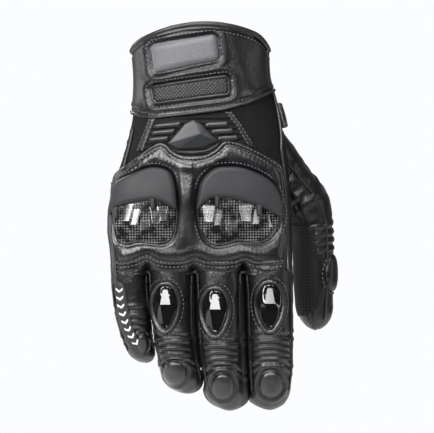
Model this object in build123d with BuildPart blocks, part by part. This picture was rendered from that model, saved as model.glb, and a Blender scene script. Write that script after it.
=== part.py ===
"""Right-hand motorcycle riding glove, short leather gauntlet with hard knuckles, in millimetres.

Frame: the fingers hang towards -Z and the cuff mouth is at the top. The back of the hand faces -Y,
the palm +Y and the thumb +X. The origin is the centre of the cuff mouth.
The leather body is a lofted form. Every panel, pad and protector is a layer cut out of that form,
grown outwards, so it lies on the leather below it with a thin glue gap.
"""

import math
import os
from functools import lru_cache

from build123d import *

os.makedirs("parts", exist_ok=True)

# Leather and layers
WALL = 2.0  # outer leather with its backing
GLUE = 0.1  # gap between a layer and the layer below it
LINING = 0.7  # knitted inner lining
OVERLAY = 1.4  # a leather panel sewn on top of the body
JOINT_GAP = 0.15  # half of the gap between two bodies at a flex line
SECTION_POINTS = 16  # points of one cross-section

# Hand body: height, centre x, centre y, half width, half depth, squareness of the section
HAND = [
    (8, 0, 0, 41, 27, 2.1),
    (-12, 0, 0, 40.4, 26.5, 2.1),
    (-29, 1.0, 0, 39.9, 25, 2.1),
    (-46, 3.0, 0, 42.4, 23.5, 2.1),
    (-63, 4.0, 0, 45.8, 22, 2.2),
    (-84, 2.6, 0.5, 50.4, 21, 2.2),
    (-104, 0.2, 0.5, 54.2, 19.5, 2.3),
    (-123, -0.2, 0, 55.4, 17.5, 2.5),
    (-137, 0.6, -0.3, 54.6, 15.5, 2.8),
    (-152, 1.4, -0.5, 54.0, 13.8, 3.2),
]
MOUTH_R = 85.0  # the cuff's edge is an arc seen from the back of the hand
MOUTH_X = 3.0
WEB_Z = -146.0  # flex line of the four fingers
HINGE_Y = 4.5  # flex axes lie this far towards the palm from the finger's centre line
KNUCKLE_FLEX = 70.0  # degrees at the knuckle
MIDDLE_FLEX = 75.0  # degrees at the ribbed panel
NOTCH_CLEAR = 1.5  # degrees of clearance on each side of a palm notch

# Fingers: sections down to the last full one, the tip's end height and the height of the ribbed flex line
FINGER_SQUARE = 2.3
FINGERS = {
    "little": {
        "sections": [(-142, -42.6, 1.5, 10.7, 11.6), (-158, -42.0, 2.4, 10.6, 11.5),
                     (-174, -40.4, 5.0, 10.2, 11.1), (-186, -38.2, 9.0, 9.4, 10.6),
                     (-194, -36.2, 12.0, 8.4, 9.8)],
        "tip": (-33.6, 14.5, -203.0), "flex_z": -177.0},
    "ring": {
        "sections": [(-142, -17.3, 0.0, 13.0, 12.8), (-162, -17.2, 0.6, 12.8, 12.6),
                     (-182, -16.2, 2.2, 12.0, 12.2), (-196, -14.4, 4.6, 11.6, 11.8),
                     (-210, -10.6, 8.2, 11.0, 11.2)],
        "tip": (-7.6, 11.4, -221.7), "flex_z": -193.5},
    "middle": {
        "sections": [(-142, 11.4, -1.2, 13.2, 13.2), (-164, 11.6, -0.8, 13.1, 13.0),
                     (-186, 12.2, 1.0, 12.8, 12.6), (-203, 13.6, 3.6, 12.4, 12.2),
                     (-219, 16.0, 7.4, 11.4, 11.4)],
        "tip": (17.6, 10.6, -232.0), "flex_z": -197.5},
    "index": {
        "sections": [(-142, 41.3, -0.4, 13.8, 12.8), (-164, 41.9, 0.2, 13.6, 12.7),
                     (-186, 42.3, 1.8, 13.3, 12.4), (-203, 42.6, 4.2, 13.1, 12.0),
                     (-218, 42.4, 7.6, 12.0, 11.3)],
        "tip": (41.8, 10.4, -231.6), "flex_z": -194.0},
}
TIP_STEPS = (0.38, 0.66, 0.86, 0.97)  # heights of the tip dome's sections, as shares of the dome

# Thumb: centre, radius and direction of the path at each section, from inside the hand to the tip
THUMB = [
    ((34, 8, -60), 11.0, (0.45, 0.15, -0.88)),
    ((43, 11.5, -76), 13.4, (0.50, 0.20, -0.84)),
    ((52.5, 15.5, -92), 14.6, (0.55, 0.20, -0.80)),
    ((63.5, 19.5, -107), 14.4, (0.35, 0.18, -0.92)),
    ((68.2, 22.8, -121), 12.6, (0.10, 0.16, -0.98)),
    ((69.0, 25.6, -136), 11.9, (0.03, 0.16, -0.99)),
    ((69.4, 28.0, -151), 11.9, (0.03, 0.14, -0.99)),
    ((70.0, 30.2, -168), 11.3, (0.05, 0.12, -0.99)),
]
THUMB_TIP = (71.2, 31.6, -183.8)
THUMB_ROOT_Z = -110.0
THUMB_FLEX_Z = -127.5
THUMB_ROOT_FLEX = 35.0
THUMB_TIP_FLEX = 50.0

# Closures on the palm side, hinged where they are sewn on
FLAP_ROOT_X = -33.0
STRAP_ROOT_X = -36.0


def squircle(half_w, half_d, power):
    """Points round a section: an ellipse at power 2, squarer above it."""
    points = []
    for i in range(SECTION_POINTS):
        c = math.cos(2 * math.pi * i / SECTION_POINTS)
        s = math.sin(2 * math.pi * i / SECTION_POINTS)
        x = math.copysign(abs(c) ** (2 / power), c) * half_w
        y = math.copysign(abs(s) ** (2 / power), s) * half_d
        points.append((x, y))
    return points


def lofted(sections, ruled=False):
    """A solid through sections, each a plane with a half width, a half depth and a squareness."""
    with BuildPart() as form:
        for plane, half_w, half_d, power in sections:
            with BuildSketch(plane):
                with BuildLine():
                    Spline(*squircle(half_w, half_d, power), periodic=True)
                make_face()
        loft(ruled=ruled)
    return form.part


@lru_cache(maxsize=None)
def hand_form(grow):
    return lofted([
        (Plane((cx, cy, z)), half_w + grow, half_d + grow, power)
        for z, cx, cy, half_w, half_d, power in HAND
    ])


def domed(sections, tip, grow):
    """A tube through the sections, closed by a dome that ends at the tip and grows with the form."""
    last, half_w, half_d, power = sections[-1]
    start, end = last.origin, Vector(*tip)
    end = end + (end - start).normalized() * grow
    dome = [sections[-1]]
    for share in TIP_STEPS:
        scale = math.sqrt(1 - share * share)
        plane = Plane(start + (end - start) * share, x_dir=last.x_dir, z_dir=last.z_dir)
        dome.append((plane, half_w * scale, half_d * scale, power))
    with BuildPart() as form:
        add(lofted(sections))
        add(lofted(dome, ruled=True))
    return form.part


@lru_cache(maxsize=None)
def finger_form(name, grow):
    finger = FINGERS[name]
    sections = [
        (Plane((cx, cy, z)), half_w + grow, half_d + grow, FINGER_SQUARE)
        for z, cx, cy, half_w, half_d in finger["sections"]
    ]
    return domed(sections, finger["tip"], grow)


@lru_cache(maxsize=None)
def thumb_form(grow):
    sections = [
        (Plane(centre, x_dir=(0, 1, 0), z_dir=direction), radius + grow, radius + grow, 2.0)
        for centre, radius, direction in THUMB
    ]
    return domed(sections, THUMB_TIP, grow)


def slab(low, high, reach=200.0):
    """A wide block between two heights."""
    with BuildPart() as block:
        with BuildSketch(Plane.XY.offset(low)):
            Rectangle(reach * 2, reach * 2)
        extrude(amount=high - low)
    return block.part


def half_space(plane, reach=200.0):
    """A block on the side that the plane faces."""
    with BuildPart() as block:
        with BuildSketch(plane):
            Rectangle(reach * 2, reach * 2)
        extrude(amount=reach)
    return block.part


def notch(point, axis, towards, degrees, reach=30.0):
    """The wedge of material that a flex line leaves out, so that two stiff tubes can bend."""
    rise = reach * math.tan(math.radians(degrees / 2 + NOTCH_CLEAR))
    with BuildPart() as wedge:
        with BuildSketch(Plane(Vector(*point), x_dir=towards, z_dir=axis)):
            with BuildLine():
                Polyline((0, 0), (reach, rise), (reach, -rise), close=True)
            make_face()
        extrude(amount=70, both=True)
    return wedge.part


def centre_at(name, z):
    """The finger's centre at a height, between its two nearest sections."""
    rows = FINGERS[name]["sections"]
    for upper, lower in zip(rows, rows[1:]):
        if z >= lower[0]:
            break
    share = (z - upper[0]) / (lower[0] - upper[0])
    return tuple(upper[i] + (lower[i] - upper[i]) * share for i in (1, 2))


def thumb_centre_at(z):
    rows = [centre for centre, _, _ in THUMB]
    for upper, lower in zip(rows, rows[1:]):
        if z >= lower[2]:
            break
    share = (z - upper[2]) / (lower[2] - upper[2])
    return Vector(*upper) + (Vector(*lower) - Vector(*upper)) * share


def finger_notch(name, z, degrees):
    cx, cy = centre_at(name, z)
    return notch((cx, cy + HINGE_Y, z), (1, 0, 0), (0, 1, 0), degrees)


def thumb_notch(z, degrees):
    cx, cy, _ = thumb_centre_at(z)
    return notch((cx, cy + HINGE_Y, z), (1, 0, 0), (0, 1, 0), degrees)


def mouth_cutter(inset):
    """A cylinder across the hand: what it doesn't hold is above the cuff's curved edge."""
    with BuildPart() as barrel:
        with BuildSketch(Plane.XZ.offset(-100)):
            with Locations((MOUTH_X, -MOUTH_R)):
                Circle(MOUTH_R - inset)
        extrude(amount=200)
    return barrel.part


def layer(form, low, high, region):
    """The layer between two growths of a form, inside a region."""
    with BuildPart() as made:
        add(region)
        add(form(high), mode=Mode.INTERSECT)
        add(form(low), mode=Mode.SUBTRACT)
    return made.part


def save(built, name):
    part = built.part if isinstance(built, BuildPart) else built
    part.label = name
    export_step(part, f"parts/{name}.step")
    return part


# ---------------------------------------------------------------- outlines on the back of the hand
# Each outline is a list of (x, z) points.
CUFF_PAD = [(-29.3, -12.6), (9.6, -6.8), (11.8, -22.6), (-26.8, -30.6)]
CUFF_VENT = [(-29.4, -37.4), (16.9, -31.0), (18.2, -43.0), (-27.2, -48.4)]
PAD_CORNER = 3.0
BAND_EDGE = [(-60, -49), (-40.1, -50), (-32.6, -55.5), (-26.2, -56.3), (-9, -54.4), (12.4, -51.7),
             (28.5, -47.5), (42.4, -41.5), (60, -36)]
WRIST_PANEL = [(-27.5, -58), (16.5, -54), (27.5, -71), (8, -79), (-12, -81), (-33.8, -74.5)]
BADGE = [(-8.6, -59.6), (-19, -71.6), (-13, -74.7), (2.6, -73.6), (10.9, -69.8), (1.4, -60.2), (-3.8, -57.4)]
KNUCKLE_TOP = [(-51.8, -92.5), (-34.8, -79.6), (-23.5, -74.5), (-15.4, -81), (-9, -83.6), (1.7, -83),
               (9.2, -79.6), (15.5, -74.0), (23.2, -73.6), (37.1, -80), (48.8, -87)]
KNUCKLE_BOTTOM_Z = -144.2
OUTER_WINDOW = [(-49.8, -104.5), (-46.5, -94.9), (-35.8, -87.8), (-26.2, -85.2), (-17.6, -88),
                (-14.4, -95.4), (-13.3, -111), (-15.4, -126), (-21.5, -131.4), (-35.8, -131.0),
                (-44.0, -131.8), (-48.6, -128), (-50.6, -120), (-51, -113)]
OUTER_HOOD_EDGE = [(-60, -118), (-46.5, -109.4), (-37.9, -106.7), (-28.3, -105.1), (-22.9, -105.8),
                   (-10, -112.5)]
INNER_WINDOW = [(-1.5, -105.6), (0.6, -94.2), (7.1, -87), (14.6, -85.2), (26.4, -86.4), (38.2, -92),
                (44.6, -99.6), (47, -111), (46.4, -120), (42.5, -127.2), (36.6, -130.7), (29.6, -130.6),
                (15.6, -131.8), (9.2, -132.2), (3, -128.6), (-0.4, -120.6), (-2, -111)]
INNER_HOOD_EDGE = [(-6, -114), (3.8, -105.6), (9.2, -103.5), (18.8, -104), (31.7, -107.8),
                   (39.2, -111), (54, -119)]


def inset(outline, amount):
    """The outline drawn in by an amount, each point square to the line between its neighbours."""
    centre_x = sum(x for x, _ in outline) / len(outline)
    centre_z = sum(z for _, z in outline) / len(outline)
    moved = []
    for (x0, z0), (x, z), (x1, z1) in zip(outline[-1:] + outline[:-1], outline, outline[1:] + outline[:1]):
        along = math.hypot(x1 - x0, z1 - z0)
        normal_x, normal_z = (z1 - z0) / along, (x0 - x1) / along
        if normal_x * (x - centre_x) + normal_z * (z - centre_z) < 0:
            normal_x, normal_z = -normal_x, -normal_z
        moved.append((x - normal_x * amount, z - normal_z * amount))
    return moved


def region(outline, facing=-1, shrink=0.0, smooth=True, corner=0.0):
    """A prism through one half of the hand, from an outline seen from the back of the hand."""
    with BuildPart() as prism:
        with BuildSketch(Plane.XZ):
            with BuildLine():
                if smooth and not corner:
                    Spline(*inset(outline, shrink), periodic=True)
                else:
                    Polyline(*inset(outline, shrink), close=True)
            face = make_face()
            if corner:
                fillet(face.vertices(), radius=corner)
        extrude(amount=-60 * facing)
    return prism.part


def block(low, high):
    """An upright block between two corners."""
    size = [h - l for l, h in zip(low, high)]
    centre = [(l + h) / 2 for l, h in zip(low, high)]
    with BuildPart() as made:
        with Locations(tuple(centre)):
            Box(*size)
    return made.part


def cut(part, *tools):
    """The part with the tools' material taken away."""
    with BuildPart() as made:
        add(part)
        for tool in tools:
            add(tool, mode=Mode.SUBTRACT)
    return made.part


def kept(part, *tools):
    """What of the part is inside every one of the tools."""
    with BuildPart() as made:
        add(part)
        for tool in tools:
            add(tool, mode=Mode.INTERSECT)
    return made.part


def tube(form, low, high, bottom, top):
    """The wall of a form between two growths and two heights."""
    return cut(kept(form(high), slab(bottom, top)), form(low))


# ---------------------------------------------------------------- hand body
MIDDLE_Y = 1.0  # the back of the glove meets the palm here
DORSAL = half_space(Plane((0, MIDDLE_Y - 0.05, -75), x_dir=(1, 0, 0), z_dir=(0, -1, 0)))
PALMAR = half_space(Plane((0, MIDDLE_Y + 0.05, -75), x_dir=(1, 0, 0), z_dir=(0, 1, 0)))
BELOW_MOUTH = mouth_cutter(0)
HAND_BOTTOM = WEB_Z + JOINT_GAP
LOWEST_KNUCKLE_Y = min(centre_at(name, WEB_Z)[1] for name in FINGERS) + HINGE_Y
HAND_NOTCH = notch((0, LOWEST_KNUCKLE_Y, WEB_Z), (1, 0, 0), (0, 1, 0), KNUCKLE_FLEX)
THUMB_HOLE = thumb_form(GLUE)

hand_wall = kept(tube(hand_form, -WALL, 0, HAND_BOTTOM, 20), BELOW_MOUTH)
hand_wall = cut(hand_wall, HAND_NOTCH, THUMB_HOLE)
save(kept(hand_wall, DORSAL), "back_panel")
palm = kept(hand_wall, PALMAR)
save(palm.solids().sort_by(SortBy.VOLUME)[-1], "palm_panel")

lining = kept(tube(hand_form, -WALL - GLUE - LINING, -WALL - GLUE, -136, 20), mouth_cutter(3))
save(cut(lining, HAND_NOTCH, THUMB_HOLE), "hand_lining")

thumb_root = tube(thumb_form, -WALL, 0, THUMB_ROOT_Z + JOINT_GAP, -66)
thumb_root = cut(thumb_root, hand_form(GLUE), thumb_notch(THUMB_ROOT_Z, THUMB_ROOT_FLEX))
save(thumb_root, "thumb_root")

# ---------------------------------------------------------------- cuff
band_area = region([(-60, 30), *BAND_EDGE, (60, 30)], smooth=False)
band = kept(layer(hand_form, GLUE, OVERLAY, band_area), BELOW_MOUTH, DORSAL)
pad_hole, vent_hole = (region(outline, corner=PAD_CORNER) for outline in (CUFF_PAD, CUFF_VENT))
save(cut(band, pad_hole, vent_hole), "cuff_band")
save(layer(hand_form, GLUE, 3.4, region(CUFF_PAD, shrink=0.6, corner=PAD_CORNER)), "cuff_pad")
save(layer(hand_form, GLUE, 0.9, region(CUFF_VENT, shrink=3.6, corner=1.5)), "cuff_vent_mesh")
frame = layer(hand_form, GLUE, 2.4, region(CUFF_VENT, shrink=0.4, corner=PAD_CORNER))
save(cut(frame, region(CUFF_VENT, shrink=3.0, corner=1.5)), "cuff_vent_frame")
binding = tube(hand_form, OVERLAY + GLUE, OVERLAY + GLUE + 0.9, -40, 20)
save(cut(kept(binding, BELOW_MOUTH), mouth_cutter(4)), "cuff_binding")

# ---------------------------------------------------------------- wrist
wrist_area = region(WRIST_PANEL, smooth=False)
badge_area = region(BADGE, smooth=False)
below_band = region([(-60, 30), *[(x, z - 0.8) for x, z in BAND_EDGE], (60, 30)], smooth=False)
knuckle_area = region([*KNUCKLE_TOP, (50.5, -100), (50.5, KNUCKLE_BOTTOM_Z),
                       (-50.5, KNUCKLE_BOTTOM_Z), (-51.8, -100)], smooth=False)
stretch = layer(hand_form, GLUE, 1.2, wrist_area)
save(cut(stretch, badge_area, below_band, knuckle_area), "wrist_stretch_panel")
save(layer(hand_form, GLUE, 4.5, region(BADGE, shrink=0.4, smooth=False)), "wrist_badge")
RIBS = [(-27, -11.2, -60.4), (-28, -15.2, -64.6), (-29, -19, -68.8),
        (4.0, 17.0, -60.4), (8.0, 18.5, -64.4), (11.8, 20, -68.2)]
with BuildPart() as ribs:
    for low_x, high_x, z in RIBS:
        bar = [(low_x, z + 1.5), (high_x, z + 1.5), (high_x, z - 1.5), (low_x, z - 1.5)]
        add(layer(hand_form, 1.3, 2.9, region(bar, smooth=False)))
save(ribs, "wrist_ribs")

# ---------------------------------------------------------------- knuckle protection
knuckle = layer(hand_form, GLUE, OVERLAY + 0.6, knuckle_area)
save(cut(knuckle, region(OUTER_WINDOW), region(INNER_WINDOW)), "knuckle_panel")
for side, window, hood_edge in (("outer", OUTER_WINDOW, OUTER_HOOD_EDGE),
                                ("inner", INNER_WINDOW, INNER_HOOD_EDGE)):
    above_edge = region([(-90, -60), *hood_edge, (90, -60)], smooth=False)
    inside = region(window, shrink=0.5)
    save(cut(layer(hand_form, GLUE, 5.0, inside), above_edge), f"{side}_knuckle_shell")
    raised = [(x, z + 0.4) for x, z in hood_edge]
    above_edge = region([(-90, -60), *raised, (90, -60)], smooth=False)
    save(kept(layer(hand_form, GLUE, 6.2, inside), above_edge), f"{side}_knuckle_hood")

# ---------------------------------------------------------------- palm side
palm_pad_outline = [(-34, -96), (-22, -92), (-8, -96), (-3, -110), (-6, -124), (-18, -130),
                    (-32, -126), (-38, -112)]
save(layer(hand_form, GLUE, 3.0, region(palm_pad_outline, facing=1)), "palm_heel_pad")
flap_z = (-38.5, -16.0)
strap_z = (-62.0, -47.0)
CLOSURE = 1.8  # thickness of the flap and the strap


def rectangle(low_x, high_x, low_z, high_z, facing=1):
    outline = [(low_x, low_z), (high_x, low_z), (high_x, high_z), (low_x, high_z)]
    return region(outline, facing=facing, smooth=False)


save(layer(hand_form, GLUE, 0.9, rectangle(-4, 28, flap_z[0], flap_z[1] - 2)), "flap_loop_patch")
save(layer(hand_form, GLUE, 0.9, rectangle(-6, 30, strap_z[0] + 1, strap_z[1] - 1)), "strap_loop_patch")
save(layer(hand_form, 1.0, 1.7, rectangle(2, 23, flap_z[0] + 2, flap_z[1] - 3)), "flap_hook_patch")
save(layer(hand_form, 1.0, 1.7, rectangle(4, 28, strap_z[0] + 2, strap_z[1] - 2)), "strap_hook_patch")
save(layer(hand_form, 1.8, 1.8 + CLOSURE, rectangle(FLAP_ROOT_X, 26, *flap_z)), "cuff_flap")
strap = layer(hand_form, 1.8, 1.8 + CLOSURE, rectangle(STRAP_ROOT_X, 60, *strap_z))
tab = layer(hand_form, 1.8, 1.8 + CLOSURE, block((44, -8, strap_z[0]), (60, 0, strap_z[1])))
with BuildPart() as whole_strap:
    add(strap)
    add(tab)
save(whole_strap, "wrist_strap")

# ---------------------------------------------------------------- fingers
ARMOUR = {
    "ring": [(-20.4, -156.4), (-26.4, -160), (-27.4, -169), (-23.6, -178.5), (-20.4, -182.2),
             (-16.8, -179), (-14, -169), (-14.4, -160)],
    "middle": [(9, -159.2), (3, -162.4), (1.9, -171), (5, -181), (8.6, -185.2), (12.4, -182),
               (16, -171), (15.2, -162.4)],
    "index": [(42, -155.4), (36, -158.6), (34.6, -167), (38, -178), (41.6, -182.4), (45.2, -179),
              (48.6, -167), (47.8, -158.6)],
}
TIP_PAD = {  # centre x, centre z, half width, half height
    "ring": (-13.4, -209.5, 6.4, 6.6),
    "middle": (14.6, -216.5, 6.8, 7.4),
    "index": (43.0, -214.5, 6.6, 7.2),
}
TIP_PAD["little"] = (-36.6, -190.6, 3.8, 5.4)
SIDE_HALF = 3.0  # half width of the strips between a finger's back and its palm side


def finger_piece(form, name, low, high, low_y, high_y):
    """A strip of a finger's wall between two heights and two depths."""
    wall = tube(form, -WALL, 0, low, high)
    return kept(wall, block((-90, low_y, low - 5), (110, high_y, high + 5)))


for name, finger in FINGERS.items():
    form = lru_cache(maxsize=None)(lambda grow, name=name: finger_form(name, grow))
    flex_z = finger["flex_z"]
    top, bottom = WEB_Z - JOINT_GAP, flex_z + JOINT_GAP
    knuckle_notch = finger_notch(name, WEB_Z, KNUCKLE_FLEX)
    middle_notch = finger_notch(name, flex_z, MIDDLE_FLEX)
    y = centre_at(name, (top + bottom) / 2)[1]
    for side, low_y, high_y in (("back", y - 40, y - SIDE_HALF - GLUE),
                                ("sides", y - SIDE_HALF, y + SIDE_HALF),
                                ("palm", y + SIDE_HALF + GLUE, y + 40)):
        strip = finger_piece(form, name, bottom, top, low_y, high_y)
        save(cut(strip, knuckle_notch, middle_notch), f"{name}_{side}")
    tip = tube(form, -WALL, 0, -240, flex_z - JOINT_GAP)
    save(cut(tip, middle_notch), f"{name}_tip")
    cx, cz, half_w, half_h = TIP_PAD[name]
    pad_outline = [(cx + half_w * math.cos(a * math.pi / 4), cz + half_h * math.sin(a * math.pi / 4))
                   for a in range(8)]
    save(layer(form, GLUE, 1.7, region(pad_outline)), f"{name}_tip_pad")
    if name in ARMOUR:
        plate = region(ARMOUR[name])
        collar = cut(layer(form, GLUE, 1.5, region(ARMOUR[name], shrink=-2.0)), plate)
        save(collar, f"{name}_armour_collar")
        save(layer(form, GLUE, 3.4, region(ARMOUR[name], shrink=0.3)), f"{name}_armour")
        cx, cy = centre_at(name, flex_z)
        ribs = region([(cx - 7.5, bottom + 0.2), (cx + 7.5, bottom + 0.2), (cx + 7.5, flex_z + 5.5),
                       (cx - 7.5, flex_z + 5.5)], smooth=False)
        save(layer(form, GLUE, 1.4, ribs), f"{name}_rib_panel")
strip_outline = [(-49.6, -156), (-44.5, -156), (-43.8, -166), (-42.6, -175.6), (-49.0, -175.6)]
little = lru_cache(maxsize=None)(lambda grow: finger_form("little", grow))
save(layer(little, GLUE, 1.2, region(strip_outline, smooth=False)), "little_strip_patch")

# ---------------------------------------------------------------- thumb
root_notch = thumb_notch(THUMB_ROOT_Z, THUMB_ROOT_FLEX)
flex_notch = thumb_notch(THUMB_FLEX_Z, THUMB_TIP_FLEX)
save(cut(tube(thumb_form, -WALL, 0, THUMB_FLEX_Z + JOINT_GAP, THUMB_ROOT_Z - JOINT_GAP),
         root_notch, flex_notch), "thumb_base")
save(cut(tube(thumb_form, -WALL, 0, -200, THUMB_FLEX_Z - JOINT_GAP), flex_notch), "thumb_tip")
nail = block((74, 16, -157), (90, 36, -139))
save(layer(thumb_form, GLUE, 1.7, nail), "thumb_nail_pad")
ribs = kept(layer(thumb_form, GLUE, 1.4, block((66, 0, -126.5), (90, 24, -118))),
            slab(THUMB_FLEX_Z + JOINT_GAP, THUMB_ROOT_Z))
save(ribs, "thumb_rib_panel")
grip = block((40, 20, -172), (64, 40, -142))
save(layer(thumb_form, GLUE, 0.9, grip), "thumb_grip_patch")
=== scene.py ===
"""A right-hand leather motorcycle glove, dressed over its CAD frame.

Lengths are millimetres until a mesh is made, and z falls from the cuff's mouth to the fingertips.
"""

import math
from functools import partial

import bmesh
import bpy
import numpy as np
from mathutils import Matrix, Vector
from mathutils.geometry import delaunay_2d_cdt


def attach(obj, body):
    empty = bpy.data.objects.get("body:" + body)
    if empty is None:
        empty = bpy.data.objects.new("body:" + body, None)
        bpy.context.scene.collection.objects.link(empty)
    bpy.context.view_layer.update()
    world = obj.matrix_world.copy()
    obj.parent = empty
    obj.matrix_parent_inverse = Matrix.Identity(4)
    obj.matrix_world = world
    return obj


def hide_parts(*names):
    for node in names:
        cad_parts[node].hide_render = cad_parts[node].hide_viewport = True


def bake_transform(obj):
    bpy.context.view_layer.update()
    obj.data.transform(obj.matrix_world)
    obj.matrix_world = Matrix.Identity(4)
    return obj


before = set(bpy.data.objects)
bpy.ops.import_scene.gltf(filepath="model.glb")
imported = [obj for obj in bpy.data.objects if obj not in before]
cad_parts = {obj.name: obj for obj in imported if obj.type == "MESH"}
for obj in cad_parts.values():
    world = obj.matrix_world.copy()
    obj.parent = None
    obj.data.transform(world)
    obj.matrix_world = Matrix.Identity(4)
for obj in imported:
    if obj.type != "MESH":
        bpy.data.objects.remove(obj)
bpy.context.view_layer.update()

MM = 0.001
FRONT, BACK = -1, 1  # the back of the hand, towards the camera, and the palm side
WEB_Z = -146.0  # where the fingers leave the hand
MARGIN = 7.0  # a bend spreads this far to each side of its hinge
MOUTH_R, MOUTH_X = 85.0, 3.0

# Sections: height, centre x, centre y, half width, half depth and, for the hand, squareness
HAND_ROWS = [
    (8, 0, 0, 41, 27, 2.1), (-12, 0, 0, 40.4, 26.5, 2.1), (-29, 1.0, 0, 39.9, 25, 2.1),
    (-46, 3.0, 0, 42.4, 23.5, 2.1), (-63, 4.0, 0, 45.8, 22, 2.2), (-84, 2.6, 0.5, 50.4, 21, 2.2),
    (-104, 0.2, 0.5, 54.2, 19.5, 2.3), (-123, -0.2, 0, 55.4, 17.5, 2.5),
    (-137, 0.6, -0.3, 54.6, 15.5, 2.8), (-152, 1.4, -0.5, 54.0, 13.8, 3.2),
]
FINGER_SQUARE = 2.3
FINGERS = {  # flex_z is where the middle joint bends, and cut_z is where the skin is parted in two
    "little": {
        "rows": [
            (-136, -42.6, 1.2, 10.2, 11.0), (-142, -42.6, 1.5, 10.7, 11.6), (-158, -42.0, 2.4, 10.6, 11.5),
            (-174, -40.4, 5.0, 10.2, 11.1), (-186, -38.2, 9.0, 9.4, 10.6), (-194, -36.2, 12.0, 8.4, 9.8),
        ], "tip": (-33.6, 14.5, -203.0), "flex_z": -177.0, "cut_z": -163.0,
    },
    "ring": {
        "rows": [
            (-136, -17.3, 0.0, 12.4, 12.2), (-142, -17.3, 0.0, 13.0, 12.8), (-162, -17.2, 0.6, 12.8, 12.6),
            (-182, -16.2, 2.2, 12.0, 12.2), (-196, -14.4, 4.6, 11.6, 11.8), (-210, -10.6, 8.2, 11.0, 11.2),
        ], "tip": (-7.6, 11.4, -221.7), "flex_z": -193.5, "cut_z": -184.0,
    },
    "middle": {
        "rows": [
            (-136, 11.4, -1.2, 12.6, 12.6), (-142, 11.4, -1.2, 13.2, 13.2), (-164, 11.6, -0.8, 13.1, 13.0),
            (-186, 12.2, 1.0, 12.8, 12.6), (-203, 13.6, 3.6, 12.4, 12.2), (-219, 16.0, 7.4, 11.4, 11.4),
        ], "tip": (17.6, 10.6, -232.0), "flex_z": -197.5, "cut_z": -187.0,
    },
    "index": {
        "rows": [
            (-136, 41.3, -0.4, 13.2, 12.2), (-142, 41.3, -0.4, 13.8, 12.8), (-164, 41.9, 0.2, 13.6, 12.7),
            (-186, 42.3, 1.8, 13.3, 12.4), (-203, 42.6, 4.2, 13.1, 12.0), (-218, 42.4, 7.6, 12.0, 11.3),
        ], "tip": (41.8, 10.4, -231.6), "flex_z": -194.0, "cut_z": -184.5,
    },
}
# Thumb: centre x, y, z, radius and the direction of the path
THUMB_PATH = [
    (34, 8, -60, 11.0, (0.45, 0.15, -0.88)), (43, 11.5, -76, 13.4, (0.50, 0.20, -0.84)),
    (52.5, 15.5, -92, 14.6, (0.55, 0.20, -0.80)), (63.5, 19.5, -107, 14.4, (0.35, 0.18, -0.92)),
    (68.2, 22.8, -121, 12.6, (0.10, 0.16, -0.98)), (69.0, 25.6, -136, 11.9, (0.03, 0.16, -0.99)),
    (69.4, 28.0, -151, 11.9, (0.03, 0.14, -0.99)), (70.0, 30.2, -168, 11.3, (0.05, 0.12, -0.99)),
]
THUMB_TIP = (71.2, 31.6, -183.8)
THUMB_CUT_Z = -118.5  # where the thumb's skin is parted in two


def through(at, places, values):
    """A smooth curve through the values, read at heights that fall from place to place."""
    z = -np.asarray(at, float)
    knots = -np.asarray(places, float)
    values = np.asarray(values, float)
    slopes = np.gradient(values, knots)
    i = np.clip(np.searchsorted(knots, z) - 1, 0, len(knots) - 2)
    width = knots[i + 1] - knots[i]
    t = np.clip((z - knots[i]) / width, 0, 1)
    return (
        values[i] * (1 + 2 * t) * (1 - t) ** 2
        + values[i + 1] * t * t * (3 - 2 * t)
        + width * (slopes[i] * t * (1 - t) ** 2 - slopes[i + 1] * t * t * (1 - t))
    )


def smooth(t):
    t = np.clip(t, 0, 1)
    return t * t * (3 - 2 * t)


def signed_power(v, power):
    return np.sign(v) * np.abs(v) ** power


def ridge(d, middle, width):
    """A rounded ridge, 1 high at its middle and gone about two widths away."""
    return np.exp(-(((d - middle) / width) ** 2))


def edge_rise(d, width):
    """A quarter circle up from an edge: 0 at the edge, and 1 from that width inwards."""
    return np.sqrt(1 - (1 - np.clip(d / width, 0, 1)) ** 2)


def seam_line(near, deep, wide, high, out, spread):
    """A groove along a seam, with the leather swelling up beside it."""
    return high * ridge(near, out, spread) - deep * ridge(near, 0, wide)


def full_turn(columns):
    """Angles right round a tube."""
    return -np.arange(columns) * 2 * math.pi / columns


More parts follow.
